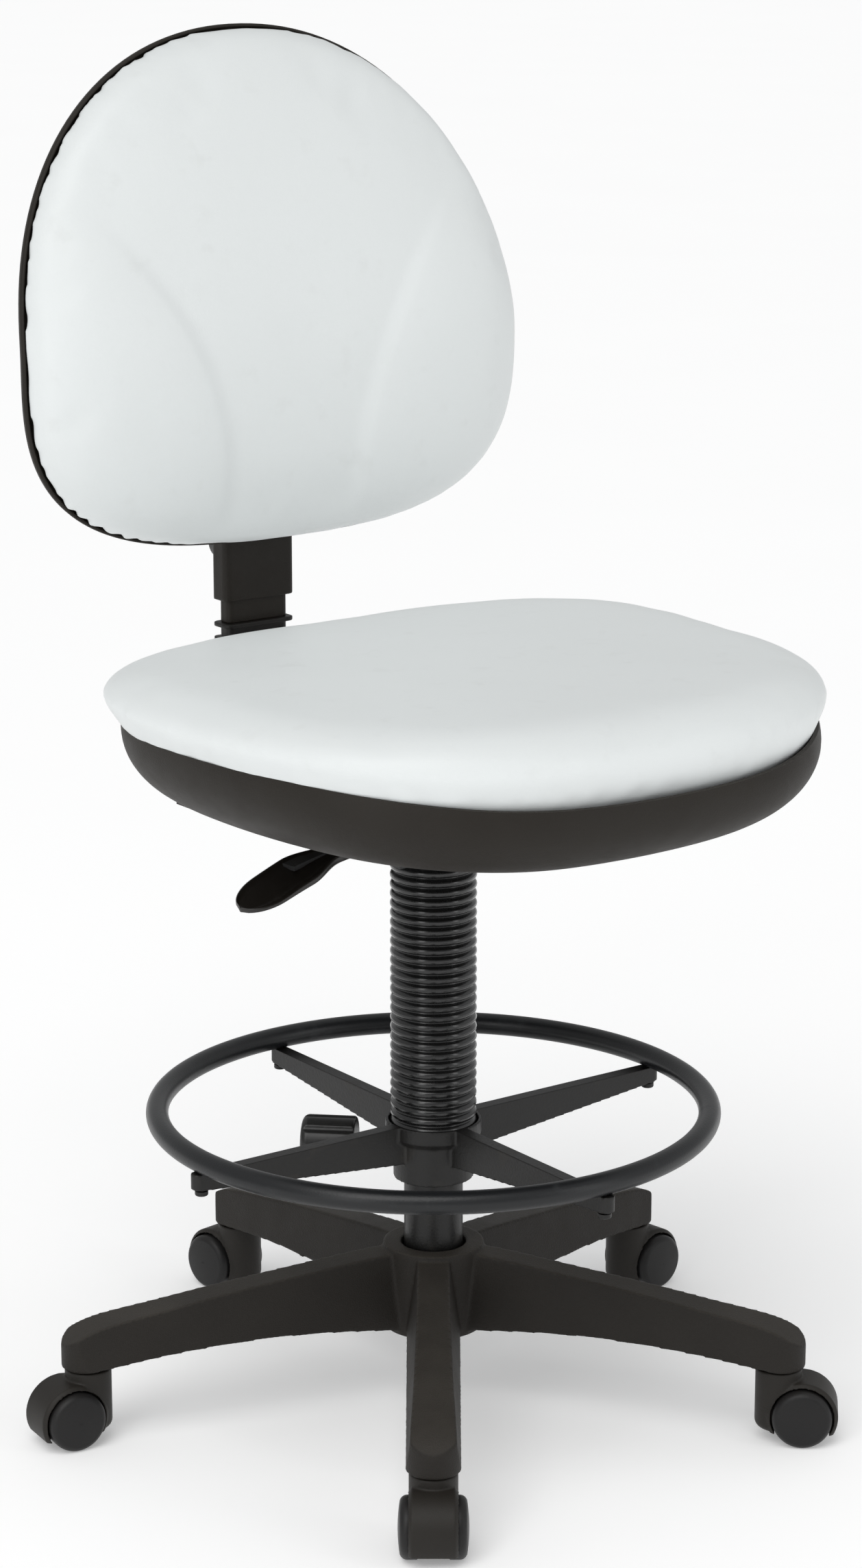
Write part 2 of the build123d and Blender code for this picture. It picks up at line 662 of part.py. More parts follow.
def seam_side(rise, above):
    """Everything above (or below) the seam, which dips towards the front."""
    bend_y = SEAT_MID_Y - 0.3 * SEAT_HALF_D
    front_y = SEAT_MID_Y - SEAT_HALF_D
    seam = Spline((0, front_y, SEAM_Z - SEAM_DIP + rise), (0, (bend_y + front_y) / 2, SEAM_Z - SEAM_DIP / 4 + rise),
                  (0, bend_y, SEAM_Z + rise), tangents=((0, 1, 0.22), (0, 1, 0)))
    lead = Line((0, front_y - 60, SEAM_Z - SEAM_DIP - 13.2 + rise), (0, front_y, SEAM_Z - SEAM_DIP + rise))
    back = Line((0, bend_y, SEAM_Z + rise), (0, FAR, SEAM_Z + rise))
    far_z = FAR if above else 0
    frame = Polyline((0, FAR, SEAM_Z + rise), (0, FAR, far_z), (0, front_y - 60, far_z),
                     (0, front_y - 60, SEAM_Z - SEAM_DIP - 13.2 + rise))
    face = make_face(lead + seam + back + frame)
    return extrude(face, amount=FAR, dir=(1, 0, 0), both=True)


def bolt_places():
    return [Pos(side * PLATE_BOLT_X, y, 0) for side in (-1, 1) for y in PLATE_BOLT_Y]


def arm_hole_places():
    half = ARM_HOLE_SPACING / 2
    return [Pos(side * ARM_PAD_X, ARM_PAD_Y + end * half, 0) for side in (-1, 1) for end in (-1, 1)]


ARM_PAD_Z = 541.0
BOARD_TOP = BOARD_Z + BOARD_T


def seat_shell(outer, inner):
    """Moulded pan with a plinth for the mechanism and two pads for armrests."""
    plinth = block((-PAN_HALF_W - FLANGE_W, PAN_HALF_W + FLANGE_W), (-PAN_FRONT, PAN_BACK),
                   (SEAT_FLOOR_Z, BOARD_Z - 10))
    body = outer + plinth
    half = ARM_PAD_HALF_W
    y = ARM_HOLE_SPACING / 2 + half
    for side in (-1, 1):
        x = side * ARM_PAD_X
        body += block((x - half, x + half), (ARM_PAD_Y - y, ARM_PAD_Y + y), (ARM_PAD_Z, BOARD_Z - 10))
    body -= inner
    for side in (-1, 1):
        x = side * ARM_PAD_X
        wall = SEAT_SHELL_T
        body -= block((x - half + wall, x + half - wall), (ARM_PAD_Y - y + wall, ARM_PAD_Y + y - wall),
                      (ARM_PAD_Z + wall, BOARD_Z - GAP))
    for place in bolt_places() + arm_hole_places():
        body += place * disc(BOLT_SHELL_BOSS_R, BOARD_Z - 30, BOARD_Z - SEAT_ON)
    for place in bolt_places():
        body += place * disc(BOLT_SHELL_BOSS_R, SEAT_FLOOR_Z, BOARD_Z - SEAT_ON)
        body -= place * disc(BOLT_R + GAP, 0, FAR)
    for place in arm_hole_places():
        body += place * disc(BOLT_SHELL_BOSS_R, ARM_PAD_Z, BOARD_Z - SEAT_ON)
        body -= place * disc(ARM_HOLE_R, 0, FAR)
    return body & seam_side(-GAP, False)


def seat_board():
    """Plywood base of the cushion."""
    sunk = (SEAM_Z - BOARD_Z) / (SEAM_Z - SEAT_FLOOR_Z)
    face = seat_outline(BOARD_SHARE, 0, BOARD_Z, SEAT_DISH_SHIFT * sunk)
    board = extrude(face, amount=BOARD_T, dir=(0, 0, 1))
    for place in bolt_places():
        board -= place * disc(BOLT_R + GAP, 0, FAR)
    for place in arm_hole_places():
        board -= place * disc(ARM_HOLE_R, 0, FAR)
    return board


def seat_cushion(inner):
    """Foam and cover: a crowned pad above the seam that fills the shell over the board."""
    levels = ((-26.0, 0.985), (0.0, 1.0), (20.0, 1 + SEAT_BULGE / SEAT_HALF_W), (34.0, 1.0))
    height = SEAT_TOP_Z - SEAM_Z
    shapes = []
    for rise, scale in levels:
        shapes.append(seat_outline(scale, 0, SEAM_Z + rise))
    for share, scale in ((0.86, 0.95), (0.96, 0.86), (1.0, 0.7)):
        shapes.append(seat_outline(scale, 0, SEAM_Z + height * share))
    pad = loft(shapes, ruled=True) & seam_side(0, True)
    core = inner & block((-FAR, FAR), (-FAR, FAR), (BOARD_TOP + GAP, SEAM_Z + 4))
    pad += core & seam_side(2.0, False)
    for place in bolt_places() + arm_hole_places():
        pad -= place * disc(TEE_NUT_R + GAP, 0, BOARD_TOP + TEE_NUT_H + 12)
    return pad


# ---------------------------------------------------------------- mechanism
PAN_TOP = SEAT_FLOOR_Z - SEAT_ON
SOCKET_FOOT = LIFT_TOP_Z - TAPER_LEN - 2
GUIDE_LOW = BAR_RUN_Z - GUIDE_H / 2
LEVER_Z = LIFT_TOP_Z + VALVE_PROUD + 0.3 + LEVER_T / 2


def seat_plate():
    """Pressed pan with bolting flanges and the tapered socket for the lift."""
    wide = PAN_HALF_W
    body = block((-wide, wide), (-PAN_FRONT, PAN_BACK), (PAN_FOOT_Z, PAN_TOP))
    body -= block((PAN_T - wide, wide - PAN_T), (PAN_T - PAN_FRONT, PAN_BACK - PAN_T),
                  (PAN_FOOT_Z + PAN_T, FAR))
    for side in (-1, 1):
        edge = side * (wide - PAN_T / 2)
        out = side * (wide + FLANGE_W)
        body += block((min(edge, out), max(edge, out)), (-PAN_FRONT, PAN_BACK), (PAN_TOP - PAN_T, PAN_TOP))
    body += disc(SOCKET_R, SOCKET_FOOT, LIFT_TOP_Z)
    for side in (-1, 1):
        ear_y = side * (LEVER_W / 2 + GAP + PAN_T / 2)
        body += block((-LEVER_PIVOT_X - 7, -LEVER_PIVOT_X + 7), (ear_y - PAN_T / 2, ear_y + PAN_T / 2),
                      (PAN_FOOT_Z + 1, LEVER_Z + 7))
    body -= cone(LIFT_R + SEAT_ON, TAPER_TIP_R + SEAT_ON, LIFT_TOP_Z - TAPER_LEN, LIFT_TOP_Z + 0.01)
    body -= disc(LIFT_R + SEAT_ON, 0, LIFT_TOP_Z - TAPER_LEN)
    pin = Rot(90, 0, 0) * Cylinder(LEVER_PIN_R + SEAT_ON, 60)
    body -= Pos(-LEVER_PIVOT_X, 0, LEVER_Z) * pin
    body -= block((-wide - 1, -wide + PAN_T + 1), (-LEVER_W, LEVER_W), (PAN_FOOT_Z + PAN_T, PAN_TOP - PAN_T))
    half = GUIDE_W / 2 + SEAT_ON
    body -= block((-half, half), (PAN_BACK - PAN_T - 1, PAN_BACK + 1),
                  (GUIDE_LOW - SEAT_ON, GUIDE_LOW + GUIDE_H + SEAT_ON))
    for place in bolt_places():
        body -= place * disc(BOLT_R + GAP, 0, FAR)
    return body


def seat_bolts():
    bolts = []
    low = PAN_TOP - PAN_T - 0.1
    for place in bolt_places():
        bolt = disc(BOLT_HEAD_R, low - BOLT_HEAD_H, low)
        bolt = chamfer(bolt.edges().group_by(Axis.Z)[0], 1.0)
        bolts.append(place * (bolt + disc(BOLT_R, low - 1, BOARD_TOP + TEE_NUT_H)))
    return joined(bolts)


def tee_nuts():
    """Flanged nuts on top of the board, for the plate bolts and the armrest holes."""
    nuts = []
    low = BOARD_TOP + 0.1
    for place, bore in [(p, BOLT_R) for p in bolt_places()] + [(p, ARM_HOLE_R) for p in arm_hole_places()]:
        nuts.append(place * pipe(TEE_NUT_R, bore + RUN, low, low + TEE_NUT_H))
    return joined(nuts)


def lever_pin():
    half = LEVER_W / 2 + GAP + PAN_T + 1.5
    pin = Rot(90, 0, 0) * Cylinder(LEVER_PIN_R, 2 * half)
    return Pos(-LEVER_PIVOT_X, 0, LEVER_Z) * pin


LEVER_OUT_X = PAN_HALF_W + 12
GRIP_START_X = LEVER_TIP_X - GRIP_LEN


def lever_frame():
    """Frame of the drooping outer part, X along it and outward, at the pan's side."""
    return Pos(-LEVER_OUT_X, 0, LEVER_Z) * Rot(0, 0, 180 + LEVER_YAW) * Rot(0, LEVER_DROOP, 0)


def lever_arm():
    """Steel strip: level inside the pan, drooping outside it."""
    inside = block((-LEVER_OUT_X - 2, 7), (-LEVER_W / 2, LEVER_W / 2), (LEVER_Z - LEVER_T / 2, LEVER_Z + LEVER_T / 2))
    eye = Rot(90, 0, 0) * Cylinder(LEVER_PIN_R + 2.5, LEVER_W)
    inside += Pos(-LEVER_PIVOT_X, 0, LEVER_Z) * eye
    outside = lever_frame() * block((-1, 70), (-LEVER_W / 2, LEVER_W / 2), (-LEVER_T / 2, LEVER_T / 2))
    hole = Rot(90, 0, 0) * Cylinder(LEVER_PIN_R + RUN, 60)
    return inside + outside - Pos(-LEVER_PIVOT_X, 0, LEVER_Z) * hole


def lever_grip():
    """Moulded paddle over the end of the strip."""
    start = GRIP_START_X - LEVER_OUT_X
    end = LEVER_TIP_X - LEVER_OUT_X
    wide = GRIP_W / 2
    neck = GRIP_NECK_W / 2
    turn_x = end - wide
    side = Spline((start, neck, 0), (start + 18, neck + 1, 0), (turn_x - 14, wide - 0.6, 0), (turn_x, wide, 0),
                  tangents=((1, 0, 0), (1, 0, 0)))
    other = Spline((turn_x, -wide, 0), (turn_x - 14, 0.6 - wide, 0), (start + 18, -neck - 1, 0), (start, -neck, 0),
                   tangents=((-1, 0, 0), (-1, 0, 0)))
    tip = ThreePointArc((turn_x, wide, 0), (end, 0, 0), (turn_x, -wide, 0))
    back = Line((start, -neck, 0), (start, neck, 0))
    face = make_face(side + tip + other + back)
    paddle = extrude(face, amount=GRIP_T / 2, dir=(0, 0, 1), both=True)
    paddle = chamfer(paddle.edges().group_by(Axis.Z)[0] + paddle.edges().group_by(Axis.Z)[-1], 1.4)
    slot = block((-1, 70 + GAP), (-LEVER_W / 2 - SEAT_ON, LEVER_W / 2 + SEAT_ON),
                 (-LEVER_T / 2 - SEAT_ON, LEVER_T / 2 + SEAT_ON))
    return lever_frame() * (paddle - slot)


# ---------------------------------------------------------------- back bar
def bar_path(front_y, top_z):
    """Centre line of the bar: level run, quarter bend, upright."""
    corner_y = BAR_Y - BAR_BEND_R
    corner_z = BAR_RUN_Z + BAR_BEND_R
    run = Line((0, front_y, BAR_RUN_Z), (0, corner_y, BAR_RUN_Z))
    middle = (0, corner_y + BAR_BEND_R * sin(pi / 4), corner_z - BAR_BEND_R * cos(pi / 4))
    bend = ThreePointArc((0, corner_y, BAR_RUN_Z), middle, (0, BAR_Y, corner_z))
    rise = Line((0, BAR_Y, corner_z), (0, BAR_Y, top_z))
    return run + bend + rise


def swept_bar(width, thickness, corner, front_y, top_z):
    """Rounded rectangle carried along the bar's centre line."""
    start = Plane(origin=(0, front_y, BAR_RUN_Z), x_dir=(1, 0, 0), z_dir=(0, 1, 0))
    return sweep(start * round_bar(width, thickness, corner), path=bar_path(front_y, top_z))


def back_bar():
    return swept_bar(BAR_W, BAR_T, 1.5, BAR_FRONT_Y, BAR_TOP_Z)


def fin_places():
    """Stations of the boot's fins, from the top fin down the bar and round the bend."""
    places = []
    corner_z = BAR_RUN_Z + BAR_BEND_R
    corner_y = BAR_Y - BAR_BEND_R
    upright = BOOT_TOP_Z - FIN_H / 2 - corner_z
    bend = BAR_BEND_R * pi / 2
    total = upright + bend + corner_y - BOOT_BACK_Y - FIN_H / 2
    travelled = 0.0
    while travelled <= total:
        if travelled <= upright:
            places.append(Pos(0, BAR_Y, BOOT_TOP_Z - FIN_H / 2 - travelled))
        elif travelled <= upright + bend:
            turn = (travelled - upright) / BAR_BEND_R
            centre = (0, corner_y + BAR_BEND_R * cos(turn), corner_z - BAR_BEND_R * sin(turn))
            places.append(Pos(*centre) * Rot(-turn * 180 / pi, 0, 0))
        else:
            left = travelled - upright - bend
            places.append(Pos(0, corner_y - left, BAR_RUN_Z) * Rot(-90, 0, 0))
        travelled += FIN_PITCH
    return places


def bar_boot():
    """Flexible finned boot round the bend."""
    core = swept_bar(COVER_W, COVER_T, 5.0, BOOT_BACK_Y, BOOT_TOP_Z)
    fin = extrude(round_bar(FIN_W, FIN_T, 7.0), amount=FIN_H / 2, both=True)
    for place in fin_places():
        core += place * fin
    bore = swept_bar(BAR_W + 2 * SLIDE, BAR_T + 2 * SLIDE, 1.5, BOOT_BACK_Y - 20, BOOT_TOP_Z + 20)
    return core - bore


def upright_bar(width, thickness, corner, low, high):
    """Rounded rectangle on the upright's axis between two heights."""
    return Pos(0, BAR_Y, low) * extrude(round_bar(width, thickness, corner), amount=high - low)


def bar_cover():
    """Plastic sleeve fixed on the upright, which the back slides on."""
    cover = upright_bar(COVER_W, COVER_T, 5.0, BOOT_TOP_Z + SEAT_ON, COVER_TOP_Z)
    return cover - upright_bar(BAR_W + 2 * SEAT_ON, BAR_T + 2 * SEAT_ON, 1.5, 0, FAR)


def bar_guide():
    """Rectangular steel sleeve in the pan that the level run slides through."""
    outer = block((-GUIDE_W / 2, GUIDE_W / 2), (GUIDE_FRONT_Y, GUIDE_BACK_Y), (GUIDE_LOW, GUIDE_LOW + GUIDE_H))
    half_w = BAR_W / 2 + SLIDE
    half_t = BAR_T / 2 + SLIDE
    outer -= block((-half_w, half_w), (0, FAR), (BAR_RUN_Z - half_t, BAR_RUN_Z + half_t))
    return outer - Pos(0, DEPTH_KNOB_Y, 0) * disc(KNOB_STUD_R + RUN, 0, BAR_RUN_Z)


def depth_knob():
    down = Pos(0, DEPTH_KNOB_Y, GUIDE_LOW - DEPTH_KNOB_DROP) * Rot(180, 0, 0)
    grip = knob(DEPTH_KNOB_R, DEPTH_KNOB_LEN) - disc(KNOB_STUD_R, -1, DEPTH_KNOB_LEN / 2)
    return down * grip


def depth_knob_stud():
    low = GUIDE_LOW - DEPTH_KNOB_DROP - DEPTH_KNOB_LEN / 2 + 1
    high = BAR_RUN_Z - BAR_T / 2 - GAP
    return Pos(0, DEPTH_KNOB_Y, 0) * disc(KNOB_STUD_R - SEAT_ON, low, high)


# ---------------------------------------------------------------- back
SLEEVE_FRONT = BAR_Y - SLEEVE_T / 2
BRACKET_BACK = SLEEVE_FRONT - SEAT_ON
BACK_SCREW_Z = (BRACKET_Z[0] + 14, BRACKET_Z[1] - 14)


def back_half_width(share):
    """Half width at a level, and its height; share runs from -1 (foot) to 1 (top)."""
    reach, power = (BACK_RISE, BACK_TOP_POWER) if share >= 0 else (BACK_FALL, BACK_FOOT_POWER)
    angle = share * pi / 2
    half = BACK_HALF_W * abs(cos(angle)) ** (2 / power)
    return half, BACK_MID_Z + reach * signed_power(sin(angle), 2 / power)


def lean(z):
    """How far the seam plane has moved back at a height."""
    over = max(z - BACK_MID_Z, 0) * BACK_LEAN
    return sqrt(over ** 2 + BACK_LEAN_EASE ** 2) - BACK_LEAN_EASE


def back_section(share, inset, pad_t, dish_t, width_share=1.0):
    """Level slice of the back: deep soft front, shallow dished rear."""
    half, z = back_half_width(share)
    ends = min(1.0, (half / BACK_HALF_W) ** 0.6)
    half = (half - inset) * width_share
    z = BACK_MID_Z + (z - BACK_MID_Z) * (1 - inset / BACK_FALL)
    mid_y = BACK_SEAM_Y + lean(z)
    points = []
    for k in range(OUTLINE_POINTS):
        angle = 2 * pi * (k + 0.5) / OUTLINE_POINTS
        front = sin(angle) < 0
        power = BACK_PAD_POWER if front else BACK_DISH_POWER
        depth = (pad_t if front else dish_t) * ends
        x = half * signed_power(cos(angle), 2 / power)
        points.append((x, mid_y + depth * signed_power(sin(angle), 2 / power), z))
    return make_face(Spline(*points, periodic=True))


BACK_LEVELS = (-0.93, -0.8, -0.6, -0.35, 0.0, 0.25, 0.45, 0.62, 0.78, 0.9)


def back_body(inset, pad_t, dish_t):
    return loft([back_section(share, inset, pad_t, dish_t) for share in BACK_LEVELS])


def back_side(shift, front):
    """Everything in front of (or behind) the back's seam plane."""
    levels = [BACK_MID_Z - BACK_FALL - 60, BACK_MID_Z, BACK_MID_Z + 60, BACK_MID_Z + 150, BACK_MID_Z + BACK_RISE + 60]
    points = [(0, BACK_SEAM_Y + lean(z) + shift, z) for z in levels]
    lower = Line(points[0], points[1])
    upper = Spline(*points[1:], tangents=((0, 0, 1), (0, BACK_LEAN, 1)))
    far_y = -FAR if front else FAR
    frame = Polyline(points[-1], (0, far_y, levels[-1]), (0, far_y, levels[0]), points[0])
    return extrude(make_face(lower + upper + frame), amount=FAR, dir=(1, 0, 0), both=True)


def back_screw_places():
    places = []
    for side in (-1, 1):
        for z in BACK_SCREW_Z:
            places.append(Pos(side * BACK_SCREW_X, 0, z) * Rot(-90, 0, 0))
    return places


def back_shell(outer, inner):
    """Dished plastic cover behind the cushion, with screw holes for the bracket."""
    shell = (outer - inner) & back_side(GAP, False)
    half = BRACKET_W / 2 + 2
    pad = block((-half, half), (BACK_SEAM_Y + 12, BRACKET_BACK - BRACKET_T - SEAT_ON),
                (BRACKET_Z[0] - 2, BRACKET_Z[1] + 2))
    shell += pad & back_side(GAP, False)
    for place in back_screw_places():
        shell -= place * disc(BACK_SCREW_R + GAP, 0, FAR)
    return shell


def back_board(inner):
    """Stiff inner board that the cushion is stapled to."""
    board = inner & back_side(GAP, False) & back_side(GAP + BACK_BOARD_T, True)
    for place in back_screw_places():
        board -= place * disc(BACK_SCREW_R + SEAT_ON, 0, FAR)
    return board


def back_cushion(outer):
    return outer & back_side(0, True)


def back_bracket():
    """Steel plate between the sleeve and the shell."""
    half = BRACKET_W / 2
    plate = block((-half, half), (BRACKET_BACK - BRACKET_T, BRACKET_BACK), BRACKET_Z)
    for place in back_screw_places():
        plate -= place * disc(BACK_SCREW_R + SEAT_ON, 0, FAR)
    return plate


def back_screws():
    """Screws from behind, through the bracket and shell into the board."""
    low = BACK_SEAM_Y + GAP + 2
    screws = []
    for place in back_screw_places():
        screw = disc(BACK_SCREW_R, low, BRACKET_BACK + 1)
        head = disc(BACK_SCREW_HEAD_R, BRACKET_BACK + SEAT_ON, BRACKET_BACK + BACK_SCREW_HEAD_H)
        screws.append(place * (screw + head))
    return joined(screws)


def back_sleeve():
    """Sleeve that slides on the bar cover, with a boss for the clamp knob."""
    sleeve = upright_bar(SLEEVE_W, SLEEVE_T, SLEEVE_CORNER, SLEEVE_FOOT_Z, SLEEVE_TOP_Z)
    boss = disc(10, 0, SLEEVE_T / 2 + 3)
    rear = Pos(0, BAR_Y, HEIGHT_KNOB_Z) * Rot(-90, 0, 0)
    sleeve += rear * boss
    sleeve -= upright_bar(COVER_W + 2 * SLIDE, COVER_T + 2 * SLIDE, 5.0 + SLIDE, 0, SLEEVE_TOP_Z - SLEEVE_CAP)
    return sleeve - rear * disc(KNOB_STUD_R + RUN, 0, FAR)


def height_knob_frame():
    return Pos(0, BAR_Y, HEIGHT_KNOB_Z) * Rot(-90, 0, 0)


def height_knob():
    start = SLEEVE_T / 2 + 3 + HEIGHT_KNOB_GAP
    grip = knob(HEIGHT_KNOB_R, HEIGHT_KNOB_LEN) - disc(KNOB_STUD_R, -1, HEIGHT_KNOB_LEN / 2)
    return height_knob_frame() * Pos(0, 0, start) * grip


def height_knob_stud():
    start = SLEEVE_T / 2 + 3 + HEIGHT_KNOB_GAP
    low = COVER_T / 2 + GAP
    return height_knob_frame() * disc(KNOB_STUD_R - SEAT_ON, low, start + HEIGHT_KNOB_LEN / 2 - 1)


# ---------------------------------------------------------------- build
def build_lift():
    save("star_base", star_base())
    save("column_tube", column_tube())
    save("guide_bush", guide_bush())
    save("thrust_bearing", thrust_bearing())
    save("piston_rod", piston_rod())
    save("retaining_clip", retaining_clip())
    save("gas_cylinder", gas_cylinder())
    save("valve_pin", valve_pin())
    save("bellows", bellows())


def build_foot_ring():
    save("ring_liner", ring_liner())
    save("ring_tube", ring_tube())
    save("ring_spider", ring_spider())
    save("ring_screws", ring_screws())
    save("ring_knob", ring_knob())
    save("ring_knob_stud", ring_knob_stud())


def build_seat():
    outer = seat_dish(0)
    inner = seat_dish(SEAT_SHELL_T)
    save("seat_shell", seat_shell(outer, inner))
    save("seat_board", seat_board())
    save("seat_cushion", seat_cushion(inner))
    save("seat_plate", seat_plate())
    save("seat_bolts", seat_bolts())
    save("tee_nuts", tee_nuts())
    save("lever_pin", lever_pin())
    save("lever_arm", lever_arm())
    save("lever_grip", lever_grip())


def build_back():
    outer = back_body(0, BACK_PAD_T, BACK_DISH_T)
    inner = back_body(BACK_SHELL_T, BACK_PAD_T, BACK_DISH_T - BACK_SHELL_T)
    save("back_bar", back_bar())
    save("bar_boot", bar_boot())
    save("bar_cover", bar_cover())
    save("bar_guide", bar_guide())
    save("depth_knob", depth_knob())
    save("depth_knob_stud", depth_knob_stud())
    save("back_sleeve", back_sleeve())
    save("back_bracket", back_bracket())
    save("back_screws", back_screws())
    save("back_shell", back_shell(outer, inner))
    save("back_board", back_board(inner))
    save("back_cushion", back_cushion(outer))
    save("height_knob", height_knob())
    save("height_knob_stud", height_knob_stud())


os.makedirs("parts", exist_ok=True)
build_casters()
build_lift()
build_foot_ring()
build_seat()
build_back()
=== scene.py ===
import bmesh
import bpy
import json
from math import cos, exp, pi, radians, sin, sqrt
from mathutils import Matrix, Vector, noise


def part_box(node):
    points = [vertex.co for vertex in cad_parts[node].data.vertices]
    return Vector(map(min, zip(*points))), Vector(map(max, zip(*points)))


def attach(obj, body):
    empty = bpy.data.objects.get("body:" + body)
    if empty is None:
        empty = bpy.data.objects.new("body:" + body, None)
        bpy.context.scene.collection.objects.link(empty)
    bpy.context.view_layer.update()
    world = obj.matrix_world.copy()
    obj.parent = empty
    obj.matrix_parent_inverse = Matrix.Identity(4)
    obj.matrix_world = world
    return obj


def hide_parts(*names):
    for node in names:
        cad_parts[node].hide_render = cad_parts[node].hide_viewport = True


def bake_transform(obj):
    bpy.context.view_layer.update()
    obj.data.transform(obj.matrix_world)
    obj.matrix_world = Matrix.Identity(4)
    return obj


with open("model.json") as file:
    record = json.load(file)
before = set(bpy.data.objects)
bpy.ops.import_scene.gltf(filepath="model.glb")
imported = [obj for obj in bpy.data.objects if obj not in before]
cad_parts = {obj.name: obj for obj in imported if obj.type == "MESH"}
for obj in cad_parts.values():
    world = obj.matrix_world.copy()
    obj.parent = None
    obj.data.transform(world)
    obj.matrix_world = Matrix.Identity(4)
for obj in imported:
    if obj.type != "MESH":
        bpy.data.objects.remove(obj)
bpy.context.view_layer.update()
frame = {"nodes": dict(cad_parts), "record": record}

nodes = frame["nodes"]
scene = bpy.context.scene


# ------------------------------------------------------------ finishes
class Signal:
    """An output socket that does sums; every operator adds one Math node."""

    def __init__(self, finish, socket):
        self.finish = finish
        self.socket = socket

    def _sum(self, operation, first, second):
        return self.finish.node("ShaderNodeMath", {"operation": operation}, {0: first, 1: second})

    def __add__(self, other):
        return self._sum("ADD", self, other)

    __radd__ = __add__

    def __sub__(self, other):
        return self._sum("SUBTRACT", self, other)

    def __rsub__(self, other):
        return self._sum("SUBTRACT", other, self)

    def __mul__(self, other):
        return self._sum("MULTIPLY", self, other)

    __rmul__ = __mul__

    def between(self, low, high):
        """0 below low, 1 above high, smooth in between."""
        return self.finish.node("ShaderNodeMapRange", {"interpolation_type": "SMOOTHSTEP"},
                                {"Value": self, "From Min": low, "From Max": high}, "Result")


def pick(sockets, key):
    """A socket by index, or the first one in use with that name."""
    if isinstance(key, int):
        return sockets[key]
    return next(s for s in sockets if s.name == key and s.enabled)


class Finish:
    """One material: a Principled shader, with every other node added through node()."""

    def __init__(self, name, inputs):
        self.material = bpy.data.materials.new(name)
        self.material.use_nodes = True
        self.tree = self.material.node_tree
        self.shader = self.tree.nodes["Principled BSDF"]
        self.set(inputs)

    def feed(self, socket, value):
        if isinstance(value, Signal):
            self.tree.links.new(value.socket, socket)
        elif socket.type == "RGBA" and len(value) == 3:
            socket.default_value = (*value, 1)
        else:
            socket.default_value = value

    def set(self, inputs):
        for key, value in inputs.items():
            self.feed(self.shader.inputs[key], value)

    def node(self, kind, settings=None, inputs=None, output=0):
        made = self.tree.nodes.new(kind)
        for key, value in (settings or {}).items():
            setattr(made, key, value)
        for key, value in (inputs or {}).items():
            self.feed(pick(made.inputs, key), value)
        return Signal(self, pick(made.outputs, output))

    def place(self):
        return self.node("ShaderNodeTexCoord", output="Object")

    def upward(self):
        """How far the surface faces up, from -1 to 1."""
        normal = self.node("ShaderNodeNewGeometry", output="Normal")
        return self.node("ShaderNodeSeparateXYZ", inputs={"Vector": normal}, output="Z")

    def cloud(self, size, detail=2.0):
        """Soft noise with blotches of about this size in metres."""
        return self.node("ShaderNodeTexNoise", inputs={"Vector": self.place(), "Scale": 1 / size,
                                                        "Detail": detail}, output=0)

    def pebble(self, size):
        """Distance to the nearest of many grains of this size in metres."""
        return self.node("ShaderNodeTexVoronoi", inputs={"Vector": self.place(), "Scale": 1 / size},
                         output="Distance")

    def stretched(self, across, along):
        """Noise drawn out along Z, as brushing or wood grain."""
        place = self.node("ShaderNodeMapping", inputs={"Vector": self.place(),
                                                       "Scale": (1 / across, 1 / across, 1 / along)})
        return self.node("ShaderNodeTexNoise", inputs={"Vector": place, "Scale": 1.0, "Detail": 3.0}, output=0)

    def mix(self, amount, first, second):
        return self.node("ShaderNodeMix", {"data_type": "RGBA"}, {"Factor": amount, "A": first, "B": second},
                         "Result")

    def relief(self, height, depth, strength):
        """Bump from a height signal worth depth metres."""
        return self.node("ShaderNodeBump", inputs={"Height": height, "Distance": depth, "Strength": strength},
                         output="Normal")


def grained_plastic(name, colour, pale, grain, depth, rough, painted_top_light):
    """Moulded black plastic with a spark-eroded grain, greyer in a blotchy random tone and on upward faces, where the
    grey is painted light from above.
    """
    finish = Finish(name, {"Specular IOR Level": 0.28})
    grains = finish.pebble(grain) + 0.6 * finish.cloud(grain * 0.7)
    blotch = finish.cloud(0.04)
    # Upward faces are mixed towards the pale colour as painted light from above; the blotch adds a random tone.
    top = finish.upward().between(0.35, 1.0)
    top_light_and_tone = (top * (0.35 + 0.65 * blotch)) * painted_top_light + 0.10 * blotch
    finish.set({"Base Color": finish.mix(top_light_and_tone, colour, pale),
                "Roughness": rough + 0.14 * (finish.cloud(0.02) - 0.5),
                "Normal": finish.relief(grains, depth, 0.8)})
    return finish.material


def smooth_plastic(name, colour, pale, rough, coat=0.0):
    """Smooth moulded black plastic with faint flow waves and hairline scuffs."""
    finish = Finish(name, {"Specular IOR Level": 0.5, "Coat Weight": coat, "Coat Roughness": 0.12})
    scuff = finish.stretched(0.0012, 0.02).between(0.56, 0.8)
    waves = finish.cloud(0.012)
    finish.set({"Base Color": finish.mix(0.35 * scuff + 0.12 * waves, colour, pale),
                "Roughness": rough + 0.12 * (waves - 0.5) + 0.10 * scuff,
                "Normal": finish.relief(waves + 0.15 * finish.cloud(0.0012), 0.0003, 0.5)})
    return finish.material


def powder_coat(name, colour, pale, rough, peel):
    """Baked black powder on steel: orange peel, specks, slight wear."""
    finish = Finish(name, {"Specular IOR Level": 0.38})
    dimples = finish.cloud(peel, 1.5)
    speck = finish.pebble(0.004).between(0.02, 0.10)
    rub = finish.cloud(0.03, 4.0).between(0.58, 0.72)
    finish.set({"Base Color": finish.mix(0.10 * (1 - speck) + 0.15 * rub, colour, pale),
                "Roughness": rough + 0.10 * (dimples - 0.5) + 0.06 * rub,
                "Normal": finish.relief(dimples, peel * 0.12, 0.6)})
    return finish.material


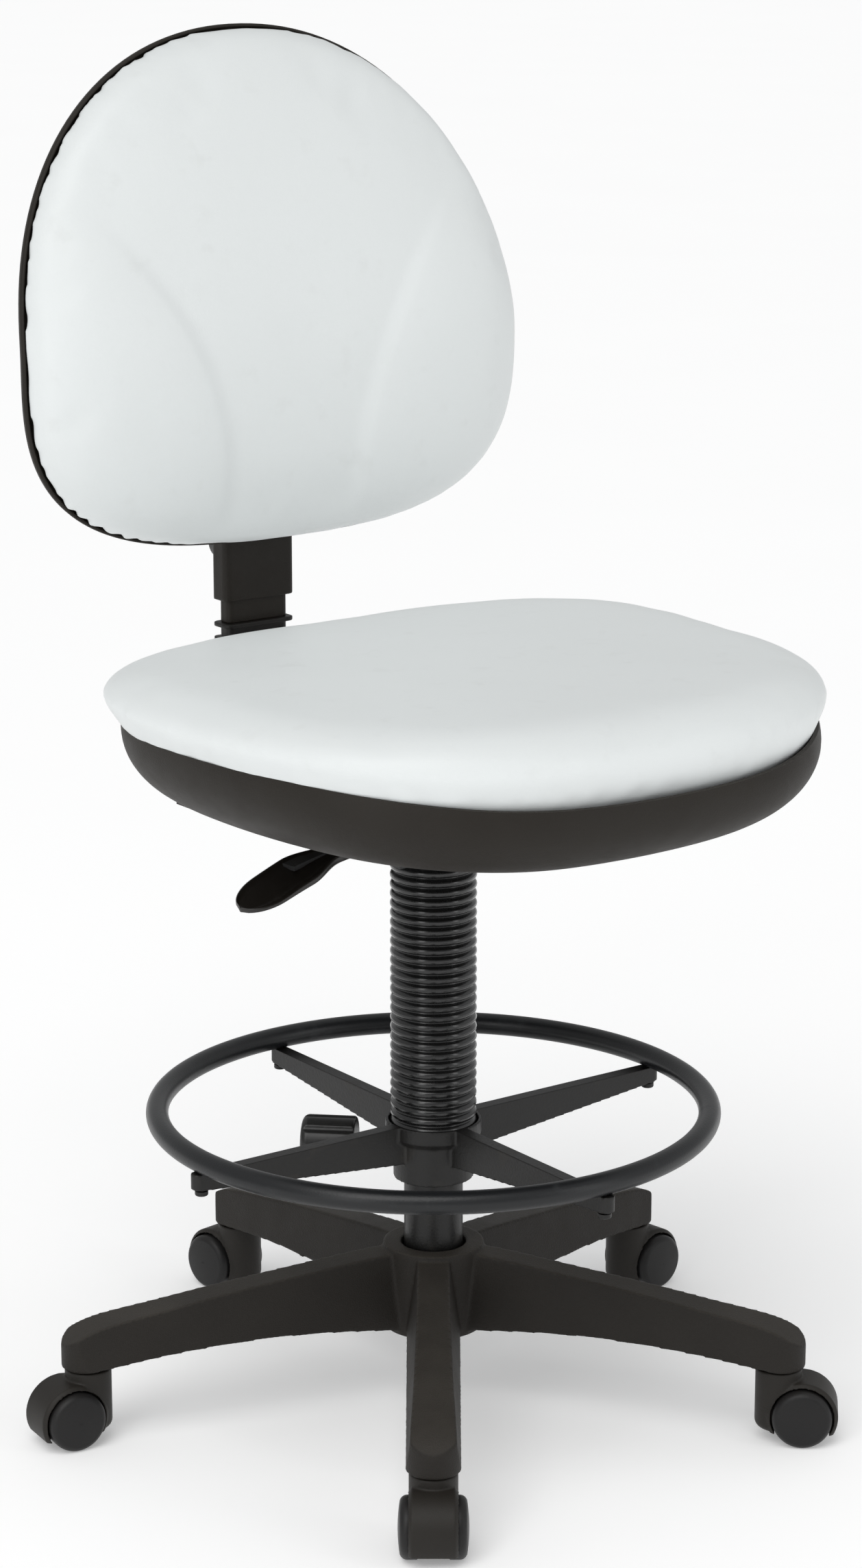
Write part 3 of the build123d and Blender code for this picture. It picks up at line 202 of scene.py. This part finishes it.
def bare_metal(name, colour, dull, rough, drawn):
    """Bright metal with drawn or turned lines and grey handling marks."""
    finish = Finish(name, {"Metallic": 1.0})
    lines = finish.stretched(*drawn)
    marks = finish.cloud(0.015, 4.0).between(0.5, 0.75)
    finish.set({"Base Color": finish.mix(0.5 * marks, colour, dull),
                "Roughness": rough + 0.18 * (lines - 0.4) + 0.12 * marks,
                "Normal": finish.relief(lines, 0.00004, 0.5)})
    return finish.material


def vinyl_cover():
    """Off-white upholstery vinyl: calendered leather grain, soft sheen, faint handling marks."""
    finish = Finish("white_vinyl", {"Specular IOR Level": 0.42, "Sheen Weight": 0.06, "Sheen Roughness": 0.4})
    cells = finish.pebble(0.0016)
    fine = finish.cloud(0.0009, 3.0)
    broad = finish.cloud(0.09)
    marks = finish.cloud(0.025, 4.0).between(0.58, 0.8)
    finish.set({"Base Color": finish.mix(0.5 * marks + 0.35 * broad, (0.770, 0.800, 0.800), (0.715, 0.740, 0.735)),
                "Roughness": 0.47 + 0.12 * (broad - 0.5) + 0.05 * marks - 0.06 * cells,
                "Normal": finish.relief(0.7 * cells + 0.5 * fine, 0.00022, 0.35)})
    return finish.material


def beech_ply():
    finish = Finish("beech_plywood", {"Specular IOR Level": 0.35})
    grain = finish.stretched(0.003, 0.05)
    plies = finish.node("ShaderNodeTexWave", {"wave_type": "BANDS", "bands_direction": "Z"},
                        {"Vector": finish.place(), "Scale": 200.0, "Distortion": 0.6}, "Fac")
    finish.set({"Base Color": finish.mix(0.6 * grain + 0.3 * plies, (0.62, 0.44, 0.26), (0.42, 0.27, 0.14)),
                "Roughness": 0.55 + 0.15 * grain, "Normal": finish.relief(grain, 0.0002, 0.5)})
    return finish.material


GREY = (0.078, 0.069, 0.057)
finishes = {
    "base_plastic": grained_plastic("base_nylon", (0.0124, 0.0103, 0.0082), GREY, 0.0011, 0.00030, 0.62, 0.42),
    "caster_plastic": grained_plastic("hood_nylon", (0.0118, 0.0100, 0.0080), GREY, 0.0008, 0.00012, 0.52, 0.08),
    "shell_plastic": grained_plastic("shell_plastic", (0.0112, 0.0086, 0.0058), GREY, 0.0009, 0.00016, 0.56, 0.10),
    "wheel_plastic": grained_plastic("wheel_nylon", (0.0085, 0.0085, 0.0092), GREY, 0.0007, 0.00008, 0.44, 0.08),
    "boot_rubber": grained_plastic("boot_rubber", (0.0085, 0.0080, 0.0075), GREY, 0.0006, 0.00006, 0.46, 0.10),
    "bellows_plastic": smooth_plastic("bellows_polythene", (0.0045, 0.0045, 0.0045), (0.02, 0.02, 0.02), 0.24, 0.3),
    "knob_plastic": smooth_plastic("knob_plastic", (0.0085, 0.0080, 0.0075), (0.04, 0.04, 0.04), 0.36),
    "lever_plastic": smooth_plastic("lever_plastic", (0.0085, 0.0068, 0.0050), (0.04, 0.036, 0.032), 0.34),
    "column_steel": powder_coat("column_coat", (0.0070, 0.0068, 0.0065), GREY, 0.36, 0.002),
    "ring_coat": powder_coat("ring_coat", (0.0100, 0.0108, 0.0120), (0.07, 0.075, 0.08), 0.34, 0.0016),
    "spider_coat": powder_coat("spider_coat", (0.0100, 0.0095, 0.0090), GREY, 0.43, 0.0022),
    "plate_coat": powder_coat("plate_coat", (0.018, 0.018, 0.018), GREY, 0.42, 0.002),
    "chromed_rod": bare_metal("hard_chrome", (0.74, 0.75, 0.77), (0.55, 0.55, 0.56), 0.14, (0.0004, 0.02)),
    "plain_steel": bare_metal("bright_zinc", (0.60, 0.60, 0.61), (0.40, 0.39, 0.38), 0.34, (0.0006, 0.0008)),
    "bush_plastic": grained_plastic("natural_acetal", (0.72, 0.70, 0.65), (0.60, 0.57, 0.5), 0.001, 0.0001, 0.4, 0.3),
    "vinyl": vinyl_cover(),
    "plywood": beech_ply(),
}
slots = {part["node"]: part["material_slot"] for part in frame["record"]["subparts"]}
slots["ring_screws"] = "spider_coat"
for name, node in nodes.items():
    for slot in node.material_slots:
        slot.material = finishes[slots[name]]


# ------------------------------------------------------------ making
def add_piece(name, mesh, body, slot, replaced=()):
    """Put a finished mesh in the scene, give it its finish and its body."""
    piece = bpy.data.objects.new(name, mesh)
    scene.collection.objects.link(piece)
    mesh.materials.clear()
    mesh.materials.append(finishes[slot])
    mesh.shade_smooth()
    if body:
        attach(piece, body)
    if replaced:
        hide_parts(*replaced)
    return piece


def lofted(name, rings, cap_start=None, cap_end=None):
    """Skin over rings of equally many points, with optional middle points as caps."""
    count = len(rings[0])
    points = [p for ring in rings for p in ring]
    faces = []
    for k in range(len(rings) - 1):
        for i in range(count):
            j = (i + 1) % count
            faces.append((k * count + i, k * count + j, (k + 1) * count + j, (k + 1) * count + i))
    for middle, ring in ((cap_start, 0), (cap_end, len(rings) - 1)):
        if middle is not None:
            points.append(middle)
            for i in range(count):
                faces.append((len(points) - 1, ring * count + (i + 1) % count, ring * count + i))
    mesh = bpy.data.meshes.new(name)
    mesh.from_pydata(points, [], faces)
    work = bmesh.new()
    work.from_mesh(mesh)
    bmesh.ops.recalc_face_normals(work, faces=work.faces)
    work.to_mesh(mesh)
    work.free()
    return mesh


def lathe(name, outline, turns):
    """Skin turned about Z from (radius, height) points."""
    rings = []
    for r, z in outline:
        rings.append([(r * cos(2 * pi * k / turns), r * sin(2 * pi * k / turns), z) for k in range(turns)])
    return lofted(name, rings)


def evaluated(piece):
    """The mesh of a piece with its modifiers applied."""
    graph = bpy.context.evaluated_depsgraph_get()
    return bpy.data.meshes.new_from_object(piece.evaluated_get(graph))


def welded(mesh, outward=False):
    """Join the points of a mesh that lie in one place, and turn its faces outward if asked."""
    work = bmesh.new()
    work.from_mesh(mesh)
    bmesh.ops.remove_doubles(work, verts=work.verts, dist=1e-6)
    if outward:
        bmesh.ops.recalc_face_normals(work, faces=work.faces)
    work.to_mesh(mesh)
    work.free()


def softened(node, name, voxel, rounds):
    """A copy of a CAD piece with the small rounded edges of a moulding or casting."""
    mesh = nodes[node].data.copy()
    welded(mesh)
    piece = bpy.data.objects.new(name + "_work", mesh)
    scene.collection.objects.link(piece)
    remesh = piece.modifiers.new("remesh", "REMESH")
    remesh.mode = "VOXEL"
    remesh.voxel_size = voxel
    smooth = piece.modifiers.new("smooth", "SMOOTH")
    smooth.iterations = rounds
    smooth.factor = 0.5
    made = evaluated(piece)
    made.name = name
    bpy.data.objects.remove(piece)
    return made


def soft_step(value, low, high):
    share = min(max((value - low) / (high - low), 0.0), 1.0)
    return share * share * (3 - 2 * share)


def signed_power(value, power):
    return abs(value) ** power * (1 if value >= 0 else -1)


# ------------------------------------------------------------ cushions
PAD_VOXEL = 0.005
BLOW_FRAMES = 20


def inflated(name, mesh, held, cap, easing, even):
    """Foam under a sewn cover: the skin is blown up as cloth, held where held(point) is true.

    It moves by cap at most, then easing rounds smooth the free skin and even rounds all of it.
    """
    piece = bpy.data.objects.new(name + "_work", mesh)
    scene.collection.objects.link(piece)
    remesh = piece.modifiers.new("remesh", "REMESH")
    remesh.mode = "VOXEL"
    remesh.voxel_size = PAD_VOXEL
    skin = evaluated(piece)
    piece.modifiers.clear()
    piece.data = skin
    start = [v.co.copy() for v in skin.vertices]
    tight = piece.vertex_groups.new(name="held")
    tight.add([v.index for v in skin.vertices if held(v.co)], 1.0, "REPLACE")
    loose = piece.vertex_groups.new(name="free")
    loose.add([v.index for v in skin.vertices if not held(v.co)], 1.0, "REPLACE")
    cloth = piece.modifiers.new("cloth", "CLOTH")
    cloth.settings.quality = 6
    cloth.settings.mass = 0.4
    cloth.settings.tension_stiffness = 40
    cloth.settings.compression_stiffness = 40
    cloth.settings.shear_stiffness = 20
    cloth.settings.bending_stiffness = 6
    cloth.settings.use_pressure = True
    cloth.settings.uniform_pressure_force = 4
    cloth.settings.vertex_group_mass = "held"
    cloth.settings.effector_weights.gravity = 0
    cloth.collision_settings.use_collision = False
    for step in range(1, BLOW_FRAMES + 1):
        scene.frame_set(step)
    blown = evaluated(piece)
    piece.modifiers.clear()
    for vertex, old in zip(blown.vertices, start):
        move = vertex.co - old
        if move.length > cap:
            vertex.co = old + move * (cap / move.length)
    scene.frame_set(1)
    piece.data = blown
    ease = piece.modifiers.new("ease", "SMOOTH")
    ease.iterations = easing
    ease.factor = 0.5
    ease.vertex_group = "free"
    level = piece.modifiers.new("level", "SMOOTH")
    level.iterations = even
    level.factor = 0.5
    finer = piece.modifiers.new("finer", "SUBSURF")
    finer.levels = 1
    made = evaluated(piece)
    made.name = name
    bpy.data.objects.remove(piece)
    return made


SEAT_HALF_W, SEAT_HALF_D, SEAT_MID_Y = 0.2725, 0.2345, -0.066
SEAM_Z, SEAM_DIP, SEAT_POWER, SEAT_TAPER = 0.6145, 0.018, 2.7, 0.074
SEAT_CROWN, SEAT_DOME, SEAT_SWELL = 0.0430, 0.0015, 0.0135
SEAT_SQUARE = 0.45          # how much squarer the rear corners are at the top
SEAT_EDGE, SEAT_EDGE_POWER = 0.035, 2.35
SEAT_INSET_MAX = 0.258      # the innermost ring's inset
SEAT_INSET_UNIT = 0.262     # inset that would shrink a ring to nothing
SEAT_TUCK = 0.012           # how far the cushion goes on below the seam


def seat_seam(y):
    """Height of the seam, which falls towards the front edge."""
    share = (SEAT_MID_Y - 0.3 * SEAT_HALF_D - y) / (0.7 * SEAT_HALF_D)
    return SEAM_Z - SEAM_DIP * max(share, 0.0) ** 2


def seat_point(angle, share, rise):
    """Point on the seat's outline at a share of its size; the rear corners get squarer as rise goes to 1."""
    power = SEAT_POWER + (SEAT_SQUARE * rise if sin(angle) > 0 else 0)
    across = signed_power(cos(angle), 2 / power)
    along = signed_power(sin(angle), 2 / power)
    x = SEAT_HALF_W * share * across * (1 + SEAT_TAPER * along)
    y = SEAT_MID_Y + SEAT_HALF_D * share * along
    return x, y


def seat_level(turns, inset, lift, dome):
    """One ring of the cushion, at a share of its height, with the soft bulge over the shell's rim."""
    height = lift * SEAT_CROWN
    swell = SEAT_SWELL * exp(-((height - 0.024) / 0.016) ** 2) * soft_step(height, 0, 0.012)
    ring = []
    for k in range(turns):
        angle = 2 * pi * k / turns
        x, y = seat_point(angle, 1 - inset / SEAT_INSET_UNIT, lift)
        edge_y = seat_point(angle, 1.0, 0)[1]
        grow = 1 + swell / 0.25
        foot = seat_seam(edge_y)
        z = foot + (SEAM_Z - 0.003 - foot) * lift + height + dome
        ring.append((x * grow, SEAT_MID_Y + (y - SEAT_MID_Y) * grow, z))
    return ring


def seat_pad():
    """Crowned seat cushion: full soft sides over the seam, long flat crown, waterfall front."""
    turns, rings = 144, []
    for share in (0.80, 0.93, 0.975):
        ring = []
        for k in range(turns):
            x, y = seat_point(2 * pi * k / turns, share, 0)
            ring.append((x, y, seat_seam(y) - SEAT_TUCK))
        rings.append(ring)
    levels = 22
    for step in range(levels + 1):
        turn = 0.5 * pi * step / levels
        inset = SEAT_EDGE * (1 - cos(turn) ** (2 / SEAT_EDGE_POWER))
        rings.append(seat_level(turns, inset, sin(turn) ** (2 / SEAT_EDGE_POWER), 0.0))
    for step in range(1, 17):
        reach = step / 16
        inset = SEAT_EDGE + (SEAT_INSET_MAX - SEAT_EDGE) * reach
        rings.append(seat_level(turns, inset, 1.0, SEAT_DOME * (1 - (1 - reach) ** 2.2)))
    low = (0, SEAT_MID_Y, SEAM_Z - SEAT_TUCK)
    top = (0, SEAT_MID_Y, rings[-1][0][2])
    mesh = lofted("seat_pad", rings, low, top)
    made = inflated("seat_pad", mesh, lambda p: p.z < seat_seam(p.y) + 0.004, 0.0014, 24, 3)
    for vertex in made.vertices:
        p = vertex.co
        height = p.z - seat_seam(p.y)
        near_seam = exp(-((height - 0.004) / 0.007) ** 2)
        gather = noise.noise(Vector((p.x * 60, p.y * 60, 3.1))) * 0.0009 * near_seam
        out = Vector((p.x, p.y - SEAT_MID_Y, 0))
        if out.length > 0.05:
            vertex.co += out.normalized() * gather
        top = soft_step(height, 0.02, 0.045)
        vertex.co.z += top * 0.0009 * noise.noise(Vector((p.x * 9, p.y * 9, 0.7)))
    piece = add_piece("seat_pad", made, "seat", "vinyl", ("seat_cushion",))


BACK_HALF_W, BACK_MID_Z, BACK_RISE, BACK_FALL = 0.248, 0.880, 0.266, 0.167
BACK_SEAM_Y = 0.230
BACK_TUCK = 0.988       # the cushion's edge against the shell's
BACK_HEART_Z = 0.915    # height that the back's rings shrink towards
BACK_DEPTH = 0.054      # seam to the face
COVER_DEPTH = 0.0224    # seam to the rear of the cover
BACK_TURNS = 160


def back_lean(z):
    """How far the back has curved rearward at this height."""
    over = max(z - BACK_MID_Z, 0) * 0.235
    return sqrt(over * over + 0.006 ** 2) - 0.006


def back_curve(high):
    """Reach and roundness of the outline's upper or lower half."""
    return (BACK_RISE, 2.1) if high else (BACK_FALL, 3.0)


def back_outline(angle):
    """Point on the back's outline, from the sitter's left through the top."""
    reach, power = back_curve(sin(angle) >= 0)
    x = BACK_HALF_W * signed_power(cos(angle), 2 / power)
    return x, BACK_MID_Z + reach * signed_power(sin(angle), 2 / power)


def bolster(x, z):
    """Side bolsters of the moulded foam stand in front of a narrow-waisted middle panel."""
    waist = 0.058 + 2.1 * max(z - 0.770, 0) ** 2 + 1.2 * max(0.770 - z, 0) ** 2
    over = abs(x + 0.010) - waist
    fade = (1 - soft_step(z, 0.925, 1.03)) * soft_step(z, 0.715, 0.75)
    if over <= -0.004:
        return 0.0
    rise = 1 - exp(-max(over + 0.004, 0) / 0.030)
    rise *= soft_step(over, -0.006, 0.018)
    return 0.0080 * rise * fade


def back_ring(share, behind):
    """The outline at a share of its size, this far behind the seam."""
    ring = []
    for k in range(BACK_TURNS):
        x, z = back_outline(2 * pi * (k + 0.5) / BACK_TURNS)
        z = BACK_HEART_Z + (z - BACK_HEART_Z) * share
        ring.append((x * share, BACK_SEAM_Y + back_lean(z) + behind, z))
    return ring


def back_pad():
    """Back cushion: deep boxed foam with a crowned face and tight rolled edge."""
    rings = [back_ring(share, -0.0008) for share in (0.86, 0.95, 0.988)]
    levels = 30
    for step in range(levels + 1):
        turn = 0.5 * pi * step / levels
        share = max(cos(turn) ** (2 / 3.6), 0.004)
        lift = sin(turn) ** (2 / 2.7)
        swell = 0.0030 * exp(-((lift - 0.42) / 0.28) ** 2)
        ring = []
        for k in range(BACK_TURNS):
            x, z = back_outline(2 * pi * (k + 0.5) / BACK_TURNS)
            tuck = share * (0.993 - (0.993 - BACK_TUCK) * soft_step(lift, 0.0, 0.25))
            x, z = x * tuck, BACK_HEART_Z + (z - BACK_HEART_Z) * tuck
            reach = max(sqrt(x * x + (z - BACK_HEART_Z) ** 2), 1e-6)
            x += swell * x / reach
            z += swell * (z - BACK_HEART_Z) / reach
            ring.append((x, BACK_SEAM_Y + back_lean(z) - BACK_DEPTH * lift, z))
        rings.append(ring)
    y = BACK_SEAM_Y + back_lean(BACK_HEART_Z)
    mesh = lofted("back_pad", rings, (0, y, BACK_HEART_Z), (0, y - BACK_DEPTH, BACK_HEART_Z))
    made = inflated("back_pad", mesh, lambda p: p.y > BACK_SEAM_Y + back_lean(p.z) - 0.005, 0.0025, 12, 5)
    for vertex in made.vertices:
        p = vertex.co
        depth = BACK_SEAM_Y + back_lean(p.z) - p.y
        face = soft_step(depth, 0.022, 0.048)
        vertex.co.y += face * (0.0050 - bolster(p.x, p.z))
        out = Vector((p.x, 0, p.z - BACK_HEART_Z))
        if out.length > 0.05:
            out.normalize()
            near_seam = exp(-((depth - 0.005) / 0.007) ** 2)
            low_corner = exp(-((p.x + 0.17) / 0.07) ** 2 - ((p.z - 0.745) / 0.045) ** 2)
            along = p.x * 0.8 - p.z * 0.6
            gather = sin(along * 420 + 3 * noise.noise(p * 22)) * low_corner * 0.0016
            gather += noise.noise(p * 55) * 0.0009
            vertex.co += out * gather * near_seam
        reach, power = back_curve(p.z >= BACK_MID_Z)
        level = (abs(p.x / BACK_HALF_W) ** power + abs((p.z - BACK_MID_Z) / reach) ** power) ** (1 / power)
        limit = 0.984 + 0.032 * soft_step(depth, 0.0, 0.017)
        if level > limit:
            vertex.co.x *= limit / level
            vertex.co.z = BACK_MID_Z + (p.z - BACK_MID_Z) * limit / level
    piece = add_piece("back_pad", made, "back", "vinyl", ("back_cushion",))


def back_shell():
    """Dished cover behind the back cushion, with a rolled lip that the cushion's edge sits in, and its panel."""
    lip = ((0.9680, 0.0004), (0.9860, -0.0008), (0.9885, -0.0026), (0.9925, -0.0034),
           (0.9970, -0.0030), (1.0000, -0.0012))
    rings = [back_ring(share, behind) for share, behind in lip]
    for step in range(19):
        turn = 0.5 * pi * step / 18
        share = max(cos(turn) ** (2 / 2.6), 0.004)
        rings.append(back_ring(share, COVER_DEPTH * sin(turn) ** (2 / 2.6)))
    y = BACK_SEAM_Y + back_lean(BACK_HEART_Z)
    mesh = lofted("back_cover", rings, (0, y + 0.0004, BACK_HEART_Z), (0, y + COVER_DEPTH, BACK_HEART_Z))
    add_piece("back_cover", mesh, "back", "shell_plastic", ("back_shell",))
    front, rear = 0.0010, 0.0085
    panel = lofted("back_panel", [back_ring(0.93, front), back_ring(0.93, rear)],
                   (0, y + front, BACK_HEART_Z), (0, y + rear, BACK_HEART_Z))
    add_piece("back_panel", panel, "back", "plywood", ("back_board",))


# ------------------------------------------------------------ lift cover
def lift_cover():
    """Corrugated cover: smooth cuff, then round ribs with tight grooves."""
    low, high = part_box("bellows")
    foot, top = low.z, high.z
    pitch = 0.0083
    ribs = round((top - foot) / pitch)
    outline = [(0.0325, foot), (0.0350, foot + 0.0004), (0.0352, foot + 0.004)]
    for rib in range(ribs):
        for step in range(12):
            share = step / 12
            z = foot + (rib + share) * pitch
            swell = abs(sin(pi * share)) ** 0.62
            outline.append((0.0328 + 0.0037 * swell, min(z + 0.004, top)))
    outline.append((0.0325, top))
    mesh = lathe("lift_cover", outline, 112)
    piece = add_piece("lift_cover", mesh, None, "bellows_plastic", ("bellows",))
    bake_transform(piece)


# ------------------------------------------------------------ foot ring
def foot_ring():
    """Bent tube, with the cast spider and the clamp knob that hold it."""
    low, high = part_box("ring_tube")
    tube = (high.z - low.z) / 2
    radius, height = high.x - tube, (high.z + low.z) / 2
    rings = []
    for k in range(256):
        turn = 2 * pi * k / 256
        ring = []
        for i in range(28):
            around = 2 * pi * i / 28
            r = radius + tube * cos(around)
            ring.append((r * cos(turn), r * sin(turn), height + tube * sin(around)))
        rings.append(ring)
    rings.append(rings[0])
    mesh = lofted("foot_ring_tube", rings)
    welded(mesh, outward=True)
    add_piece("foot_ring_tube", mesh, "foot_ring", "ring_coat", ("ring_tube",))
    spider = softened("ring_spider", "foot_ring_spider", 0.0010, 3)
    add_piece("foot_ring_spider", spider, "foot_ring", "spider_coat", ("ring_spider",))
    knob = softened("ring_knob", "foot_ring_knob", 0.0008, 2)
    add_piece("foot_ring_knob", knob, "ring_clamp", "knob_plastic", ("ring_knob",))


# ------------------------------------------------------------ height lever
def lever_paddle():
    """Spoon-shaped grip with a raised rim that drops to the tip."""
    low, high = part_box("lever_grip")
    yaw, droop = radians(7), radians(11.5)
    length, neck, width = 0.113, 0.0105, 0.0210
    turns, steps, rings = 40, 44, []
    for step in range(steps + 1):
        share = step / steps
        half = neck + (width - neck) * soft_step(share, 0.10, 0.46)
        if share > 0.72:
            half *= sqrt(max(1 - ((share - 0.72) / 0.28) ** 2, 0.0))
        half = max(half, 0.0012)
        thick = 0.0058 - 0.0028 * soft_step(share, 0.3, 1.0)
        ring = []
        for k in range(turns):
            around = 2 * pi * k / turns
            across = half * signed_power(cos(around), 0.55)
            up = thick * signed_power(sin(around), 0.7)
            inner = abs(across) / half
            if sin(around) > 0:
                up -= 0.0019 * (1 - soft_step(inner, 0.62, 0.92)) * soft_step(share, 0.02, 0.2)
            up += 0.004 * sin(pi * share) * (1 - share) - 0.007 * share * share
            ring.append(Vector((-length * share, across, up)))
        rings.append(ring)
    mesh = lofted("lever_paddle", rings, rings[0][0].lerp(rings[0][turns // 2], 0.5),
                  rings[-1][0].lerp(rings[-1][turns // 2], 0.5))
    roll = radians(12)
    mesh.transform(Matrix.Rotation(yaw, 4, "Z") @ Matrix.Rotation(-droop, 4, "Y") @ Matrix.Rotation(roll, 4, "X"))
    reach = max(v.co.x for v in mesh.vertices)
    crown = max(v.co.z for v in mesh.vertices)
    middle = sum(v.co.y for v in mesh.vertices) / len(mesh.vertices)
    root = (high.x - reach, (low.y + high.y) / 2 - middle, high.z - crown - 0.001)
    mesh.transform(Matrix.Translation(root))
    add_piece("lever_paddle", mesh, "lever", "lever_plastic", ("lever_grip",))


# ------------------------------------------------------------ star base and casters
def star_base():
    mesh = softened("star_base", "five_arm_base", 0.0016, 2)
    add_piece("five_arm_base", mesh, "base", "base_plastic", ("star_base",))


def casters():
    for number in range(1, 6):
        hood = softened(f"caster_hood_{number}", f"hood_{number}", 0.0009, 3)
        add_piece(f"hood_{number}", hood, f"caster_{number}", "caster_plastic", (f"caster_hood_{number}",))


# ------------------------------------------------------------ back support
def back_support():
    for node, body, slot, voxel in (("back_sleeve", "back", "shell_plastic", 0.0011),
                                    ("bar_cover", "back_support", "shell_plastic", 0.0009),
                                    ("bar_boot", "back_support", "boot_rubber", 0.0009)):
        mesh = softened(node, node + "_moulding", voxel, 2)
        add_piece(node + "_moulding", mesh, body, slot, (node,))


seat_pad()
back_pad()
back_shell()
lift_cover()
foot_ring()
lever_paddle()
star_base()
casters()
back_support()


# ------------------------------------------------------------ floor, light and camera
def floor():
    mesh = bpy.data.meshes.new("floor")
    reach = 60
    corners = [(-reach, -reach, 0), (reach, -reach, 0), (reach, reach, 0), (-reach, reach, 0)]
    mesh.from_pydata(corners, [], [(0, 1, 2, 3)])
    ground = bpy.data.objects.new("floor", mesh)
    scene.collection.objects.link(ground)
    finish = Finish("pale_floor", {"Roughness": 0.9, "Specular IOR Level": 0.1,
                                   "Emission Color": (1, 1, 1), "Emission Strength": 0.24})
    finish.set({"Base Color": finish.mix(finish.cloud(0.6), (0.93, 0.93, 0.93), (0.91, 0.91, 0.91))})
    mesh.materials.append(finish.material)


def soft_light(name, place, target, width, height, power, tint):
    data = bpy.data.lights.new(name, "AREA")
    data.shape = "RECTANGLE"
    data.size, data.size_y = width, height
    data.energy = power
    data.color = tint
    lamp = bpy.data.objects.new(name, data)
    lamp.location = place
    lamp.rotation_euler = (Vector(target) - Vector(place)).to_track_quat("-Z", "Y").to_euler()
    scene.collection.objects.link(lamp)


def broad_light(name, place, power, spread, tint):
    """Even light from a wide part of the room, aimed at the origin from place."""
    data = bpy.data.lights.new(name, "SUN")
    data.energy = power
    data.angle = radians(spread)
    data.color = tint
    lamp = bpy.data.objects.new(name, data)
    lamp.rotation_euler = (-Vector(place)).to_track_quat("-Z", "Y").to_euler()
    scene.collection.objects.link(lamp)


def studio():
    world = bpy.data.worlds.new("studio")
    scene.world = world
    world.use_nodes = True
    backdrop = world.node_tree.nodes["Background"].inputs
    backdrop["Color"].default_value = (0.985, 0.993, 1.0, 1)
    backdrop["Strength"].default_value = 0.50
    broad_light("key_light", (-2.0, -1.3, 3.6), 1.12, 45, (1.0, 0.995, 0.985))
    broad_light("side_light", (3.0, -1.6, 1.3), 0.05, 40, (0.98, 0.99, 1.0))
    soft_light("left_panel", (-2.4, -1.0, 1.3), (0, 0, 0.6), 0.7, 2.2, 10, (1, 1, 1))
    soft_light("right_panel", (1.2, -2.6, 1.2), (0, 0, 0.5), 0.6, 2.2, 8, (1, 1, 1))
    scene.view_settings.view_transform = "Standard"


def camera():
    data = bpy.data.cameras.new("view")
    data.lens = 89.35
    data.sensor_width = 36
    data.shift_x = -0.00144
    data.clip_end = 50
    eye = bpy.data.objects.new("view", data)
    eye.location = (-1.834, -2.524, 1.334)
    eye.rotation_euler = (radians(75.73), 0, radians(-36))
    scene.collection.objects.link(eye)
    scene.camera = eye


floor()
studio()
camera()
